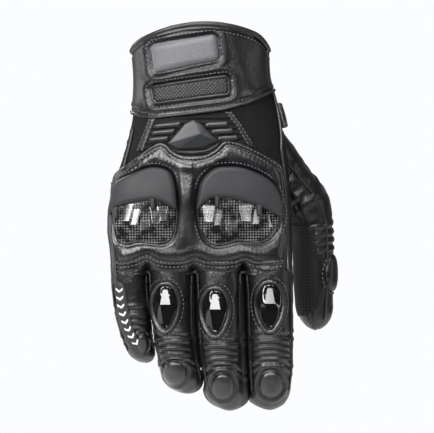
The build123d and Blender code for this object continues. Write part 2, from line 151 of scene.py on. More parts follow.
class Tube:
    """A leather tube: sections along a path, closed by a dome when it has a tip."""

    def __init__(self, rows, tip=None, directions=None):
        self.rows = np.array(rows, float)
        self.tip = tip
        self.directions = directions
        self.last_z = self.rows[-1, 0]

    def section(self, z):
        z = np.asarray(z, float)
        inside = np.maximum(z, self.last_z)
        cx, cy, half_w, half_d, power = (
            through(inside, self.rows[:, 0], self.rows[:, k]) for k in range(1, 6)
        )
        if self.tip is not None:
            share = np.clip((self.last_z - z) / (self.last_z - self.tip[2]), 0, 0.9999)
            scale = np.sqrt(1 - share * share)
            cx = cx + (self.tip[0] - cx) * share
            cy = cy + (self.tip[1] - cy) * share
            half_w, half_d = half_w * scale, half_d * scale
        return cx, cy, half_w, half_d, power

    def base(self, angle, z):
        cx, cy, half_w, half_d, power = self.section(z)
        across = half_w * signed_power(np.cos(angle), 2 / power)
        deep = half_d * signed_power(np.sin(angle), 2 / power)
        if self.directions is None:
            return np.stack([cx + across, cy + deep, np.broadcast_to(z, across.shape)], -1)
        d = np.stack([through(z, self.rows[:, 0], self.directions[:, k]) for k in range(3)], -1)
        d /= np.linalg.norm(d, axis=-1, keepdims=True)
        side = np.cross(np.array([0, -1.0, 0]), d)
        side /= np.linalg.norm(side, axis=-1, keepdims=True)
        side *= np.where(side[..., :1] < 0, -1, 1)
        up = np.cross(d, side)
        up *= np.where(up[..., 1:2] < 0, -1, 1)
        centre = np.stack([cx, cy, np.broadcast_to(z, cx.shape)], -1)
        return centre + side * across[..., None] + up * deep[..., None]

    def normal(self, angle, z):
        turn = self.base(angle + 0.004, z) - self.base(angle - 0.004, z)
        fall = self.base(angle, z - 0.04) - self.base(angle, z + 0.04)
        n = np.cross(turn, fall)
        n /= np.maximum(np.linalg.norm(n, axis=-1, keepdims=True), 1e-12)
        cx, cy = self.section(z)[:2]
        out = self.base(angle, z) - np.stack([cx, cy, np.broadcast_to(z, cx.shape)], -1)
        return n * np.where((n * out).sum(-1, keepdims=True) < 0, -1, 1)

    def point(self, angle, z, height):
        angle, z, height = np.broadcast_arrays(
            np.asarray(angle, float), np.asarray(z, float), np.asarray(height, float)
        )
        return self.base(angle, z) + self.normal(angle, z) * height[..., None]

    def angle_at(self, x, z, side=FRONT):
        """The angle of the surface point that is seen at x, from the front or the back."""
        cx, _, half_w, _, power = self.section(z)
        t = np.clip((x - cx) / np.maximum(half_w, 1e-6), -0.997, 0.997)
        return side * np.arccos(signed_power(t, power / 2))

    def seen(self, x, z, height=0.0, side=FRONT):
        return self.point(self.angle_at(x, z, side), z, height)


class Hand(Tube):
    """The hand's tube, whose lower end draws in round the four finger roots."""

    def base(self, angle, z):
        p = super().base(angle, z)
        drawn = smooth((-139 - np.asarray(z, float)) / 10)
        if not np.any(drawn > 0):
            return p
        x, y = p[..., 0], p[..., 1]
        front, rear = np.full(x.shape, -2.5), np.full(x.shape, 3.0)
        for finger in fingers.values():
            cx, cy, half_w, half_d, power = finger.section(WEB_Z)
            t = np.clip(np.abs(x - cx) / (half_w + 0.8), 0, 1)
            bulge = (half_d + 0.7) * (1 - t**power) ** (1 / power)
            front = np.where(t < 1, np.minimum(front, cy - bulge), front)
            rear = np.where(t < 1, np.maximum(rear, cy + bulge), rear)
        goal = np.where(np.sin(angle) < 0, front, rear)
        p[..., 1] = y + (goal - y) * drawn
        return p


fingers = {
    name: Tube([(*row, FINGER_SQUARE) for row in data["rows"]], data["tip"])
    for name, data in FINGERS.items()
}
hand = Hand(HAND_ROWS)
thumb = Tube(
    [(z, x, y, r, r, 2.0) for x, y, z, r, _ in THUMB_PATH],
    THUMB_TIP,
    np.array([d for *_, d in THUMB_PATH], float),
)


def mouth_z(x, inset=0.0):
    """The height of the cuff's mouth, an arc whose two corners are rounded off."""
    x = np.asarray(x)
    arc = -MOUTH_R + np.sqrt(np.maximum((MOUTH_R - inset) ** 2 - (x - MOUTH_X) ** 2, 1))
    return arc - 5.5 * np.clip((x - 32) / 9, 0, 1) ** 2 - 2.0 * np.clip((-31 - x) / 10, 0, 1) ** 2


# ------------------------------------------------------------------ outlines and distances
def distance_to(line, x, z, closed=False):
    """Distance from points to a line of (x, z) points."""
    line = np.asarray(line, float)
    ends = np.roll(line, -1, axis=0) if closed else line[1:]
    starts = line if closed else line[:-1]
    best = np.full(np.shape(x), 1e9)
    for (ax, az), (bx, bz) in zip(starts, ends):
        dx, dz = bx - ax, bz - az
        t = np.clip(((x - ax) * dx + (z - az) * dz) / max(dx * dx + dz * dz, 1e-9), 0, 1)
        best = np.minimum(best, np.hypot(x - ax - t * dx, z - az - t * dz))
    return best


def contains(line, x, z):
    """Whether points are inside a closed line."""
    inside = np.zeros(np.shape(x), bool)
    for (ax, az), (bx, bz) in zip(line, np.roll(line, -1, axis=0)):
        crosses = (az > z) != (bz > z)
        inside ^= crosses & (x < (bx - ax) * (z - az) / (bz - az + 1e-12) + ax)
    return inside


def curve_through(points, step=0.8, closed=False):
    """A smooth line through points, sampled evenly."""
    p = np.asarray(points, float)
    n = len(p)
    spans = n if closed else n - 1
    dense = []
    for i in range(spans):
        if closed:
            a, b, c, d = (p[(i + k) % n] for k in (-1, 0, 1, 2))
        else:
            a, b, c, d = (p[min(max(i + k, 0), n - 1)] for k in (-1, 0, 1, 2))
        t = np.linspace(0, 1, 16, endpoint=False)[:, None]
        dense.append(0.5 * (2 * b + (c - a) * t + (2 * a - 5 * b + 4 * c - d) * t**2
                            + (3 * b - 3 * c + d - a) * t**3))
    dense = np.vstack(dense + ([p[:1]] if closed else [p[-1:]]))
    return evenly(dense, step, closed)


def lengths_along(line):
    """How far along a line each of its points lies."""
    return np.concatenate([[0], np.cumsum(np.linalg.norm(np.diff(line, axis=0), axis=1))])


def points_at(line, along, at):
    """The points of a line at some lengths along it."""
    return np.stack([np.interp(at, along, line[:, k]) for k in range(line.shape[1])], -1)


def evenly(line, step, closed=False):
    """The same line with points at even steps."""
    line = np.asarray(line, float)
    if closed and np.hypot(*(line[0] - line[-1])[:2]) > 1e-6:
        line = np.vstack([line, line[:1]])
    along = lengths_along(line)
    count = max(int(round(along[-1] / step)), 3)
    made = points_at(line, along, np.linspace(0, along[-1], count + 1))
    return made[:-1] if closed else made


def rounded(points, radius, step=0.8):
    """A closed outline with its corners rounded."""
    p = np.asarray(points, float)
    made = []
    for before, corner, after in zip(np.roll(p, 1, 0), p, np.roll(p, -1, 0)):
        to_before = (before - corner) / np.linalg.norm(before - corner)
        to_after = (after - corner) / np.linalg.norm(after - corner)
        a, b = corner + to_before * radius, corner + to_after * radius
        t = np.linspace(0, 1, 7)[:, None]
        made.append(a * (1 - t) ** 2 + corner * 2 * t * (1 - t) + b * t**2)
    return evenly(np.vstack(made), step, closed=True)


def oval(cx, cz, wide, high, count, power=1.0):
    """A closed oval outline, which is squarer when the power is under 1."""
    turn = np.linspace(0, 2 * math.pi, count, endpoint=False)
    return np.stack([cx + wide * signed_power(np.cos(turn), power),
                     cz + high * signed_power(np.sin(turn), power)], -1)


def moved_out(line, amount):
    """A closed line moved outwards, or inwards when the amount is negative."""
    line = np.asarray(line, float)
    tangent = np.roll(line, -1, 0) - np.roll(line, 1, 0)
    tangent /= np.maximum(np.linalg.norm(tangent, axis=1, keepdims=True), 1e-9)
    normal = np.stack([tangent[:, 1], -tangent[:, 0]], -1)
    area = np.sum(line[:, 0] * np.roll(line[:, 1], -1) - np.roll(line[:, 0], -1) * line[:, 1])
    return line + normal * amount * np.sign(area)


def ripple(p, wavelength, seed, waves=9):
    """Soft uneven waves over a surface, mostly between -1 and 1."""
    rng = np.random.default_rng(seed)
    total = np.zeros(p.shape[:-1])
    for _ in range(waves):
        d = rng.normal(size=3)
        d /= np.linalg.norm(d)
        scale = 2 * math.pi / (wavelength * rng.uniform(0.7, 1.5))
        total += np.sin((p @ d) * scale + rng.uniform(0, 2 * math.pi))
    return total / math.sqrt(waves * 2)


# ------------------------------------------------------------------ meshes
def add_object(name, data):
    obj = bpy.data.objects.new(name, data)
    bpy.context.scene.collection.objects.link(obj)
    return obj


def make(name, verts, faces, mat):
    mesh = bpy.data.meshes.new(name)
    mesh.from_pydata((np.asarray(verts) * MM).tolist(), [], faces)
    mesh.validate()
    mesh.update()
    mesh.polygons.foreach_set("use_smooth", [True] * len(mesh.polygons))
    mesh.materials.append(mat)
    return add_object(name, mesh)


class Pile:
    """Many small meshes gathered into one."""

    def __init__(self):
        self.verts, self.faces = [], []

    def add(self, verts, faces):
        start = len(self.verts)
        self.verts.extend(np.asarray(verts).tolist())
        self.faces.extend([start + i for i in face] for face in faces)

    def made(self, name, mat):
        return make(name, self.verts, self.faces, mat)


def grid_faces(rows, columns, closed):
    """The faces of a grid of points, which may close round on itself."""
    faces = []
    for r in range(rows - 1):
        for c in range(columns if closed else columns - 1):
            d = (c + 1) % columns
            faces.append((r * columns + c, r * columns + d, (r + 1) * columns + d, (r + 1) * columns + c))
    return faces


def skin(name, tube, angles, z, mat, lift, closed=True):
    """A stretch of a tube's surface, given the height of each row, or of each row at each angle."""
    z = np.reshape(z, (len(z), -1)) * np.ones(len(angles))
    angle = np.broadcast_to(angles, z.shape)
    flat = tube.base(angle, z)
    points = flat + tube.normal(angle, z) * lift(flat, angle, z)[..., None]
    return make(name, points.reshape(-1, 3), grid_faces(*z.shape, closed), mat)


def rows_between(tops, bottoms, rows):
    """Even rows from an upper edge to a lower one."""
    v = np.linspace(0, 1, rows)[:, None]
    return tops * (1 - v) + bottoms * v


def rows_to_tip(tube, top, count):
    """Heights that get closer together over the dome of the tip."""
    straight = np.linspace(top, tube.last_z, count, endpoint=False)
    dome = tube.last_z + (tube.tip[2] - tube.last_z) * np.sin(np.linspace(0, math.pi / 2 * 0.995, count // 3))
    return np.concatenate([straight, dome])


def level(height):
    """A lift that is the same everywhere."""
    return lambda p, angle, z: np.full(z.shape, height)


def second_material(obj, mat, angles, wanted):
    """Gives another material to the faces of a skin whose angle and height are wanted."""
    obj.data.materials.append(mat)
    z = np.array([v.co.z / MM for v in obj.data.vertices]).reshape(-1, len(angles))[:-1]
    mask = wanted(np.broadcast_to(angles, z.shape), z)
    obj.data.polygons.foreach_set("material_index", mask.astype(int).ravel().tolist())


def sweep(pile, line, radius, sides=8, closed=False):
    """A round cord along a line, with capped ends or joined up into a loop."""
    line = np.asarray(line, float)
    n = len(line)
    radius = np.broadcast_to(radius, n)
    if closed:
        tangent = np.roll(line, -1, 0) - np.roll(line, 1, 0)
    else:
        tangent = np.gradient(line, axis=0)
    tangent /= np.maximum(np.linalg.norm(tangent, axis=1, keepdims=True), 1e-9)
    ref = np.cross(tangent[0], [0.3, 1, 0.2])
    rings = []
    for p, t, r in zip(line, tangent, radius):
        ref = ref - t * (ref @ t)
        ref /= np.linalg.norm(ref)
        other = np.cross(t, ref)
        a = np.arange(sides) * 2 * math.pi / sides
        rings.append(p + r * (np.cos(a)[:, None] * ref + np.sin(a)[:, None] * other))
    faces = grid_faces(n, sides, True)
    if closed:
        last = (n - 1) * sides
        faces += [(last + c, last + (c + 1) % sides, (c + 1) % sides, c) for c in range(sides)]
    else:
        faces += [tuple(range(sides))[::-1], tuple((n - 1) * sides + c for c in range(sides))]
    pile.add(np.vstack(rings), faces)


def stitches(pile, line3d, pitch=2.4, length=1.5, radius=0.4):
    """A row of raised threads along a line on the leather."""
    line3d = evenly(line3d, 0.35)
    along = lengths_along(line3d)
    for start in np.arange(0.3, along[-1] - length, pitch):
        at = start + np.array([0, 0.18, 0.5, 0.82, 1]) * length
        sweep(pile, points_at(line3d, along, at), np.array([0.2, 0.85, 1, 0.85, 0.2]) * radius, sides=6)


def patch(name, tube, outline, base, height, edge, mat, extra=None, side=FRONT, spacing=0.8,
          skirt=None, arc=None):
    """A shaped piece that lies on a tube: flat outline, rounded edge, side walls down to the skirt.

    The outline is seen from the side that is given or, when there is an arc, it is unrolled from a
    tube of that radius.
    """
    outline = np.asarray(outline, float)
    lo, hi = outline.min(0), outline.max(0)
    gx, gz = np.meshgrid(np.arange(lo[0], hi[0], spacing), np.arange(lo[1], hi[1], spacing * 0.87))
    gx[::2] += spacing / 2
    gx, gz = gx.ravel(), gz.ravel()
    keep = contains(outline, gx, gz) & (distance_to(outline, gx, gz, True) > spacing * 0.45)
    inner = moved_out(outline, -min(edge, 1.2) * 0.3)  # the first step of the rounded edge
    keep &= distance_to(inner, gx, gz, True) > spacing * 0.4
    flat = [Vector(p) for p in (*outline, *inner, *zip(gx[keep], gz[keep]))]
    n = len(outline)
    loop = [(i, (i + 1) % n) for i in range(n)]
    verts, _, faces, *_ = delaunay_2d_cdt(flat, loop, [], 1, 1e-4)
    xz = np.array([(v.x, v.y) for v in verts])
    d = distance_to(outline, xz[:, 0], xz[:, 1], True)
    d[:n] = 0
    lift = base + height * edge_rise(d, edge)
    if extra is not None:
        lift = lift + extra(xz[:, 0], xz[:, 1], d) * smooth(d / edge)

    def placed(p, lift):
        if arc is None:
            return tube.seen(p[:, 0], p[:, 1], lift, side)
        return tube.point(p[:, 0] / arc, p[:, 1], lift)

    points = placed(xz, lift)
    wall = placed(xz[:n], np.full(n, base - 0.7 if skirt is None else skirt))
    count = len(points)
    faces = [tuple(f) for f in faces]
    faces += [(i, (i + 1) % n, count + (i + 1) % n, count + i) for i in range(n)]
    obj = make(name, np.vstack([points, wall]), faces, mat)
    face_outwards(obj)
    return obj


def face_outwards(obj):
    """Turns the faces of a mesh to the same side, outwards where it is closed."""
    bm = bmesh.new()
    bm.from_mesh(obj.data)
    bmesh.ops.recalc_face_normals(bm, faces=bm.faces)
    bm.to_mesh(obj.data)
    bm.free()


# ------------------------------------------------------------------ the CAD parts a piece hides, and the body it moves with
def stand_for(piece, slot, *nodes, fill=None):
    """Hides the CAD nodes that a piece replaces. Its finish and how far it is padded are not used."""
    if nodes:
        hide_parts(*nodes)


def fix(piece, body, slot, *nodes, fill=None):
    """Fixes a piece to one body."""
    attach(piece, body)
    stand_for(piece, slot, *nodes, fill=fill)


def bend(piece, upper, lower, hinge_z):
    """Bakes a piece's place into its mesh. The two bodies and the hinge are not used."""
    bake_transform(piece)


# ------------------------------------------------------------------ materials
def feed(tree, node, inputs):
    """Gives each input a value, or a link from another node's output."""
    for socket, value in inputs.items():
        if isinstance(value, bpy.types.NodeSocket):
            tree.links.new(value, node.inputs[socket])
        else:
            node.inputs[socket].default_value = value


def add_node(tree, kind, output, inputs, **settings):
    """Adds a node and returns the named output."""
    node = tree.nodes.new(f"ShaderNode{kind}")
    for setting, value in settings.items():
        setattr(node, setting, value)
    feed(tree, node, inputs)
    return node.outputs[output]


def material(name, color, rough, grain=None, grain_depth=0.1, weave=None, coat=0.0, sheen=0.0,
             wear=0.06, crinkle=0.0, shine=0.5, glint_checks=None):
    """A shader with uneven colour and roughness, and a bump of folds, of leather cells or of threads.

    A weave is its angle, scale, depth and contrast. Checks, which are painted glints, are their size and
    their brightness.
    """
    mat = bpy.data.materials.new(name)
    mat.use_nodes = True
    add = partial(add_node, mat.node_tree)
    place = add("TexCoord", "Object", {})
    cloud = add("TexNoise", "Fac", {"Vector": place, "Scale": 70, "Detail": 5})
    roughness = add("MapRange", "Result", {"Value": cloud, "From Min": 0.3, "From Max": 0.7,
                                           "To Min": rough - wear, "To Max": rough + wear})
    dark, light = ((*[c * share for c in color], 1) for share in (0.8, 1.25))
    tint = add("Mix", "Result", {"Factor": cloud, "A": dark, "B": light}, data_type="RGBA")
    heights = []
    if crinkle:
        folds = add("TexNoise", "Fac", {"Vector": place, "Scale": 260, "Detail": 3, "Distortion": 0.8})
        heights.append((folds, crinkle))
    if grain:
        cells = add("TexVoronoi", "Distance", {"Vector": place, "Scale": grain}, feature="SMOOTH_F1")
        heights.append((cells, grain_depth))
    if weave:
        angle, scale, depth, contrast = weave
        turned = add("Mapping", "Vector", {"Vector": place, "Rotation": (0, math.radians(angle), 0)})
        waves = {i: add("TexWave", "Fac", {"Vector": turned, "Scale": scale}, bands_direction=axis)
                 for i, axis in enumerate("XZ")}
        threads = add("Math", "Value", waves, operation="MULTIPLY")
        heights.append((threads, depth))
        lit = (*[min(c * contrast + 0.01, 1) for c in color], 1)
        tint = add("Mix", "Result", {"Factor": threads, "A": tint, "B": lit}, data_type="RGBA")
    if glint_checks:  # painted glints: small light squares, shown in patches, that stand in for the light caught by woven fibre
        square, bright = glint_checks
        turned = add("Mapping", "Vector", {"Vector": place, "Rotation": (0, math.radians(45), 0),
                                           "Scale": (1, 0, 1)})
        board = add("TexChecker", "Fac", {"Vector": turned, "Scale": 1 / (square * MM)})
        patches = add("TexNoise", "Fac", {"Vector": place, "Scale": 190, "Detail": 2})
        shown = add("MapRange", "Result", {"Value": patches, "From Min": 0.42, "From Max": 0.58,
                                           "To Min": 0.12})
        share = add("Math", "Value", {0: board, 1: shown}, operation="MULTIPLY")
        tint = add("Mix", "Result", {"Factor": share, "A": tint, "B": (bright, bright, bright, 1)},
                   data_type="RGBA")
    normal = {}
    for height, depth in heights:
        bumps = {"Height": height, "Strength": 0.55, "Distance": depth * MM, **normal}
        normal = {"Normal": add("Bump", "Normal", bumps)}
    feed(mat.node_tree, mat.node_tree.nodes["Principled BSDF"], {
        "Base Color": tint, "Roughness": roughness, "Specular IOR Level": shine, "Coat Weight": coat,
        "Coat Roughness": 0.08, "Sheen Weight": sheen, **normal,
    })
    return mat


LEATHER = material("black_leather", (0.003, 0.003, 0.004), 0.4, grain=950, grain_depth=0.25, crinkle=0.34)
SMOOTH_LEATHER = material("padded_leather", (0.002, 0.002, 0.003), 0.37, grain=1050, grain_depth=0.18,
                          crinkle=0.26, shine=0.68)
# The thumb's leather is the black leather made darker: painted shade, as the thumb lies back from the light.
SHADED_THUMB_LEATHER = material("thumb_leather_painted_shade", (0.002, 0.002, 0.0025), 0.38, grain=950, grain_depth=0.3,
                         crinkle=0.34, shine=0.4)
DARK_LEATHER = material("dark_leather", (0.002, 0.002, 0.0025), 0.48, grain=1150, grain_depth=0.2, shine=0.4)
# Stretch fabric that is dark itself, made darker still as painted shade for the shadow between the wrist
# ribs.
SHADED_STRETCH = material("stretch_fabric", (0.0012, 0.0012, 0.0015), 0.66, weave=(0, 260, 0.15, 1.1), shine=0.15)
MESH = material("vent_mesh", (0.005, 0.005, 0.0055), 0.5, weave=(45, 210, 0.6, 3.0))
SATIN = material("satin_leather", (0.008, 0.008, 0.009), 0.38, grain=1300, grain_depth=0.14)
GREY_PAD = material("grey_pad", (0.085, 0.086, 0.092), 0.5, grain=1500, grain_depth=0.35, sheen=0.15)
RUBBER = material("matte_rubber", (0.012, 0.013, 0.015), 0.45, grain=2600, grain_depth=0.06)
HOOD = material("hood_rubber", (0.016, 0.016, 0.018), 0.6, grain=2600, grain_depth=0.06, shine=0.4)
GLOSS = material("gloss_armour", (0.004, 0.004, 0.0045), 0.12, coat=0.35, wear=0.03, shine=0.25)
# the carbon's light squares are painted glints
CARBON = material("carbon_shell", (0.002, 0.002, 0.0025), 0.2, coat=0.3,
                  wear=0.03, shine=0.3, glint_checks=(1.15, 0.1))
THREAD = material("thread", (0.065, 0.065, 0.072), 0.5)
PIPING = material("piping_leather", (0.008, 0.008, 0.009), 0.42, grain=1500, grain_depth=0.12)
# Grip cloth that is dark itself, made darker still as painted shade on the thumb, which lies back from the
# light.
SHADED_GRIP = material("grip_fabric", (0.0012, 0.0012, 0.0015), 0.7, weave=(0, 170, 0.4, 1.6), shine=0.25)
TAPE = material("hook_tape", (0.006, 0.006, 0.0065), 0.85, weave=(45, 420, 0.7, 2.4), sheen=0.2)
LINING = material("lining", (0.014, 0.014, 0.015), 0.85, weave=(0, 300, 0.4, 1.7), sheen=0.2)
PALE_MARK = material("pale_mark", (0.55, 0.55, 0.56), 0.5, grain=2000, grain_depth=0.05)


# ------------------------------------------------------------------ outlines on the back of the hand
BAND_EDGE = [
    (-40.1, -50.5), (-39, -53.3), (-32.6, -55.5), (-26.2, -56.3), (-9, -54.4), (12.4, -51.7), (28.5, -47.5),
    (42.4, -41.5), (46, -39.5),
]
CUFF_PAD = rounded([(-29.3, -12.6), (9.6, -6.8), (11.8, -22.6), (-26.8, -30.6)], 3.5)
CUFF_VENT = rounded([(-29.4, -37.4), (16.9, -31.0), (18.2, -43.0), (-27.2, -48.4)], 3.0)
WRIST_PANEL = rounded([
    (-28.3, -57.0), (16.0, -53.0), (24, -62), (29.5, -73), (9.5, -81), (-9, -84.5), (-20, -78),
    (-34.6, -76),
], 1.5)
BADGE = [
    (-8.6, -59.6), (-19.0, -71.6), (-13, -74.7), (2.6, -73.6), (10.9, -69.8), (1.4, -60.2), (-3.8, -57.4),
]
# A dark crescent under the badge: painted shade, laid where the recess between the badge and the knuckle
# panel is in shadow.
SHADE_CRESCENT = curve_through([
    (-17.6, -73.6), (-12, -75.6), (-3, -75.6), (5, -74.4), (12.4, -70.2), (9.6, -74.4), (3, -77.4),
    (-5, -78.2), (-13, -76.8),
], closed=True)
KNUCKLE_TOP = [
    (-51.6, -91.0), (-43, -83.4), (-34.8, -77.0), (-28, -72.4), (-22.9, -70.4), (-18.6, -72.6),
    (-15.4, -75.9), (-9, -78.7), (1.7, -78.3), (9.2, -74.6), (14.8, -69.6), (23.2, -70.6), (37.1, -76.8),
    (48.4, -84.6),
]
KNUCKLE = curve_through(KNUCKLE_TOP + [
    (51.6, -100), (52.4, -120), (51.6, -137), (50, -142.6), (41, -143.8), (32, -142.8), (26.5, -140.8),
    (21, -142.8), (11.4, -143.9), (3, -142.8), (-2.9, -140.8), (-8.5, -142.8), (-17.3, -143.6),
    (-25, -142.4), (-31, -139.6), (-36, -141.2), (-42.6, -143.4), (-49, -143.4), (-51.4, -138), (-53, -120),
    (-53, -104),
], step=1.0, closed=True)
OUTER_WINDOW = curve_through([
    (-51.2, -105.6), (-48.2, -95.4), (-35.8, -88), (-26.2, -85.4), (-17.8, -88), (-14.6, -95.4),
    (-13.3, -111), (-15.4, -126.2), (-21.3, -131.6), (-35.8, -131.0), (-44.2, -132.4), (-49.4, -128.6),
    (-51.8, -120.6), (-52.4, -113),
], closed=True)
INNER_WINDOW = curve_through([
    (-1.7, -105.6), (0.6, -94.2), (7.1, -86.9), (14.6, -84.9), (26.4, -86), (38.8, -91.8), (45.2, -99.4),
    (47.9, -111), (47.3, -120.4), (43.2, -127.8), (37.0, -131.2), (29.6, -131.0), (23.2, -130.3),
    (15.6, -132.2), (9.2, -132.7), (3, -129), (-0.4, -120.6), (-2, -111),
], closed=True)
OUTER_HOOD_EDGE = [
    (-53, -115.8), (-46.5, -109.4), (-37.9, -106.7), (-28.3, -105.1), (-22.9, -105.8), (-13.2, -110.8),
]
INNER_HOOD_EDGE = [
    (-1.9, -111.5), (3.8, -105.6), (9.2, -103.5), (18.8, -104), (31.7, -107.8), (39.2, -111),
    (48.2, -116.5),
]
BASE_EDGE = KNUCKLE[(KNUCKLE[:, 1] < -138) & (np.abs(KNUCKLE[:, 0] + 0.5) < 50.0)]
WRIST_SEAMS = [[(-27.6, -56.5), (-30.5, -64), (-35.2, -76)], [(16.6, -52.5), (23, -61), (30.6, -73.6)]]


def above(outline, edge):
    """The part of a window that lies above a hood's lower edge."""
    edge = curve_through(edge, 0.8)
    over = outline[:, 1] > np.interp(outline[:, 0], edge[:, 0], edge[:, 1]) + 0.2
    start = np.flatnonzero(over & ~np.roll(over, 1))[0]
    upper = np.roll(outline, -start, axis=0)[:over.sum()]
    if upper[0, 0] < upper[-1, 0]:
        upper = upper[::-1]  # from the right, over the top, to the left
    lower = edge[(edge[:, 0] > upper[-1, 0] + 0.4) & (edge[:, 0] < upper[0, 0] - 0.4)]
    return evenly(np.vstack([upper, lower]), 0.8, closed=True)


# ------------------------------------------------------------------ hand
PALM_SEAMS = [
    [(-50, -100), (-30, -88), (-6, -84), (14, -92), (26, -110), (30, -146)],
    [(-46, -138.5), (0, -137.5), (50, -138.5)],
    [(-38, -66), (0, -70), (44, -64)],
]
CLOTH_Z = -92  # the back of the hand is cloth down to here and leather below
MOUTH_LEVEL, BAND_LEVEL, STRAP_LEVEL = -8.0, -48.0, -54.5  # heights at which x is read


def palmar(angle):
    return np.sin(angle) > 0


def x_at(angles, z):
    """Where each angle lies across the hand at one height."""
    return hand.base(angles, np.full(len(angles), z))[:, 0]


def on_hand(line, height, side=FRONT):
    line = np.asarray(line, float)
    return hand.seen(line[:, 0], line[:, 1], height, side)


def hand_height(p, angle, z):
    """The lift of the hand's leather: seams on both sides, and creases over the inside of the wrist."""
    x, low = p[..., 0], p[..., 2]
    front = ~palmar(angle)
    h = 0.22 * ripple(p, 17, 4) + 0.10 * ripple(p, 7, 5)
    for seam in WRIST_SEAMS:
        h += np.where(front, seam_line(distance_to(seam, x, low), 0.7, 0.7, 0.35, 2.4, 1.5), 0)
    creases = np.sin(low * 0.95 + 2.2 * np.sin(x * 0.06)) * ridge(low, -68, 9)
    h += np.where(front, 0, 0.45 * creases)
    h -= 1.5 * smooth((-146.2 - low) / 2.6)  # draws in at the lower end
    for seam in PALM_SEAMS:
        h += np.where(front, 0, seam_line(distance_to(seam, x, low), 0.6, 0.8, 0.4, 2.6, 1.6))
    return h


around = full_turn(420)
front_x = x_at(around, MOUTH_LEVEL)
hand_skin = skin("hand_leather", hand, around, rows_between(mouth_z(front_x, 0.4), -149.5, 210),
                 LEATHER, hand_height)
second_material(hand_skin, SHADED_STRETCH, around, lambda a, z: (z > CLOTH_Z) & ~palmar(a))
fix(hand_skin, "hand", "black_leather", "back_panel", "palm_panel", fill=0.3)

lining = skin("hand_lining_knit", hand, around[::3], rows_between(mouth_z(front_x[::3], 1.2), -134.0, 60),
              LINING, lambda p, a, z: -1.9 + 0.15 * ripple(p, 12, 8))
fix(lining, "hand", "inner_lining", "hand_lining")


def band_edge(x):
    """The height of the cuff band's free edge."""
    return np.interp(x, *np.array(BAND_EDGE).T)


def band_height(p, angle, z):
    """The lift of the cuff band, which is pressed in under the grey pad and the vent."""
    x, low = p[..., 0], p[..., 2]
    h = 1.3 + 0.14 * ripple(p, 15, 12)
    h += 0.32 * np.sin(0.3 * x + 0.22 * low + 0.6 * np.sin(0.12 * low)) * smooth((x - 14) / 10)
    for outline in (CUFF_PAD, CUFF_VENT):
        near = distance_to(outline, x, low, True)
        inside = contains(outline, x, low)
        h += np.where(inside | (near < 1.6), -1.0 * smooth((2.2 - near * ~inside) / 2.2), 0)
        h += 0.55 * ridge(near, 3.6, 1.7) * ~inside
    above_edge = low - band_edge(x)
    h += 0.5 * ridge(above_edge, 4.6, 1.8) - 0.5 * ridge(above_edge, 2.4, 0.7)
    h += -0.5 * ridge(mouth_z(x) - low, 5.2, 0.8)
    return h


# cuff band, front half, from the mouth down to its free edge
band_angles = -np.linspace(-0.03, math.pi + 0.03, 240)
band_x = x_at(band_angles, BAND_LEVEL)
band_bottom = band_edge(band_x)
band = skin("cuff_band_leather", hand, band_angles, rows_between(mouth_z(band_x, 0.5), band_bottom, 110),
            LEATHER, band_height, closed=False)
under = skin("cuff_band_back", hand, band_angles, rows_between(band_bottom + 2.5, band_bottom, 3),
             DARK_LEATHER, level(0.25), closed=False)
fix(band, "hand", "black_leather", "cuff_band")
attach(under, "hand")

trims, threads = Pile(), Pile()
mouth_angles, mouth_x = around[::2], front_x[::2]
sweep(trims, hand.point(mouth_angles, mouth_z(mouth_x, 1.4), 0.55), 1.75, 12, closed=True)
sweep(trims, hand.point(band_angles, band_bottom + 0.3, 1.15), 0.95)
stitches(threads, hand.point(band_angles[8:-8], band_bottom[8:-8] + 2.5, 0.95))
stitches(threads, hand.point(mouth_angles, mouth_z(mouth_x, 5.2), 0.1 + 1.0 * ~palmar(mouth_angles)))


def frame_ring(x, z, d):
    """A rounded ring round the vent, and nothing inside it."""
    return np.where(d < 1.7, 0.3 * np.sin(np.clip(d / 1.7, 0, 1) * math.pi), -1.8 * smooth((d - 1.7) / 0.6))


pad = patch("cuff_pad_grey", hand, moved_out(CUFF_PAD, -0.5), 0.3, 3.0, 3.6, GREY_PAD)
vent = patch("cuff_vent_mesh_cloth", hand, moved_out(CUFF_VENT, -1.0), 0.3, 1.0, 2.0, MESH)
vent_frame = patch("cuff_vent_frame_leather", hand, moved_out(CUFF_VENT, 0.4), 0.6, 1.1, 1.0,
                   LEATHER, frame_ring, spacing=0.6)
fix(pad, "hand", "grey_pad", "cuff_pad", fill=0.8)
fix(vent, "hand", "vent_mesh", "cuff_vent_mesh")
fix(vent_frame, "hand", "black_leather", "cuff_vent_frame")
stitches(threads, on_hand(moved_out(CUFF_PAD, 2.2), 1.5))
stitches(threads, on_hand(moved_out(CUFF_VENT, 2.0), 1.6))

# ------------------------------------------------------------------ wrist
wrist = patch("wrist_panel_fabric", hand, WRIST_PANEL, 0.1, 0.9, 1.5, SHADED_STRETCH,
              lambda x, z, d: 0.35 * np.sin(z * 2.1))
fix(wrist, "hand", "stretch_fabric", "wrist_stretch_panel")
RIB_HALF = 2.0
WRIST_RIBS = [  # from x, to x, height, tilt
    (-27.2, -10.4, -60.6, -0.7), (-28.4, -13.8, -64.7, -0.6), (-30.0, -17.6, -68.8, -0.5),
    (2.6, 17.2, -60.4, -0.4), (6.2, 20.0, -64.4, -0.4), (10.0, 22.8, -68.4, -0.3),
]
for i, (low_x, high_x, z, tilt) in enumerate(WRIST_RIBS):
    bar = rounded([(low_x, z + RIB_HALF + tilt), (high_x, z + RIB_HALF - tilt),
                   (high_x, z - RIB_HALF - tilt), (low_x, z - RIB_HALF + tilt)], 1.9, 0.5)
    rib = patch(f"wrist_rib_{i}", hand, bar, 0.2, 2.5, 2.0, SATIN, spacing=0.5)
    fix(rib, "hand", "matte_rubber", *(["wrist_ribs"] if i == 0 else []))

BADGE_TOP = np.array([0.4, -65.6])


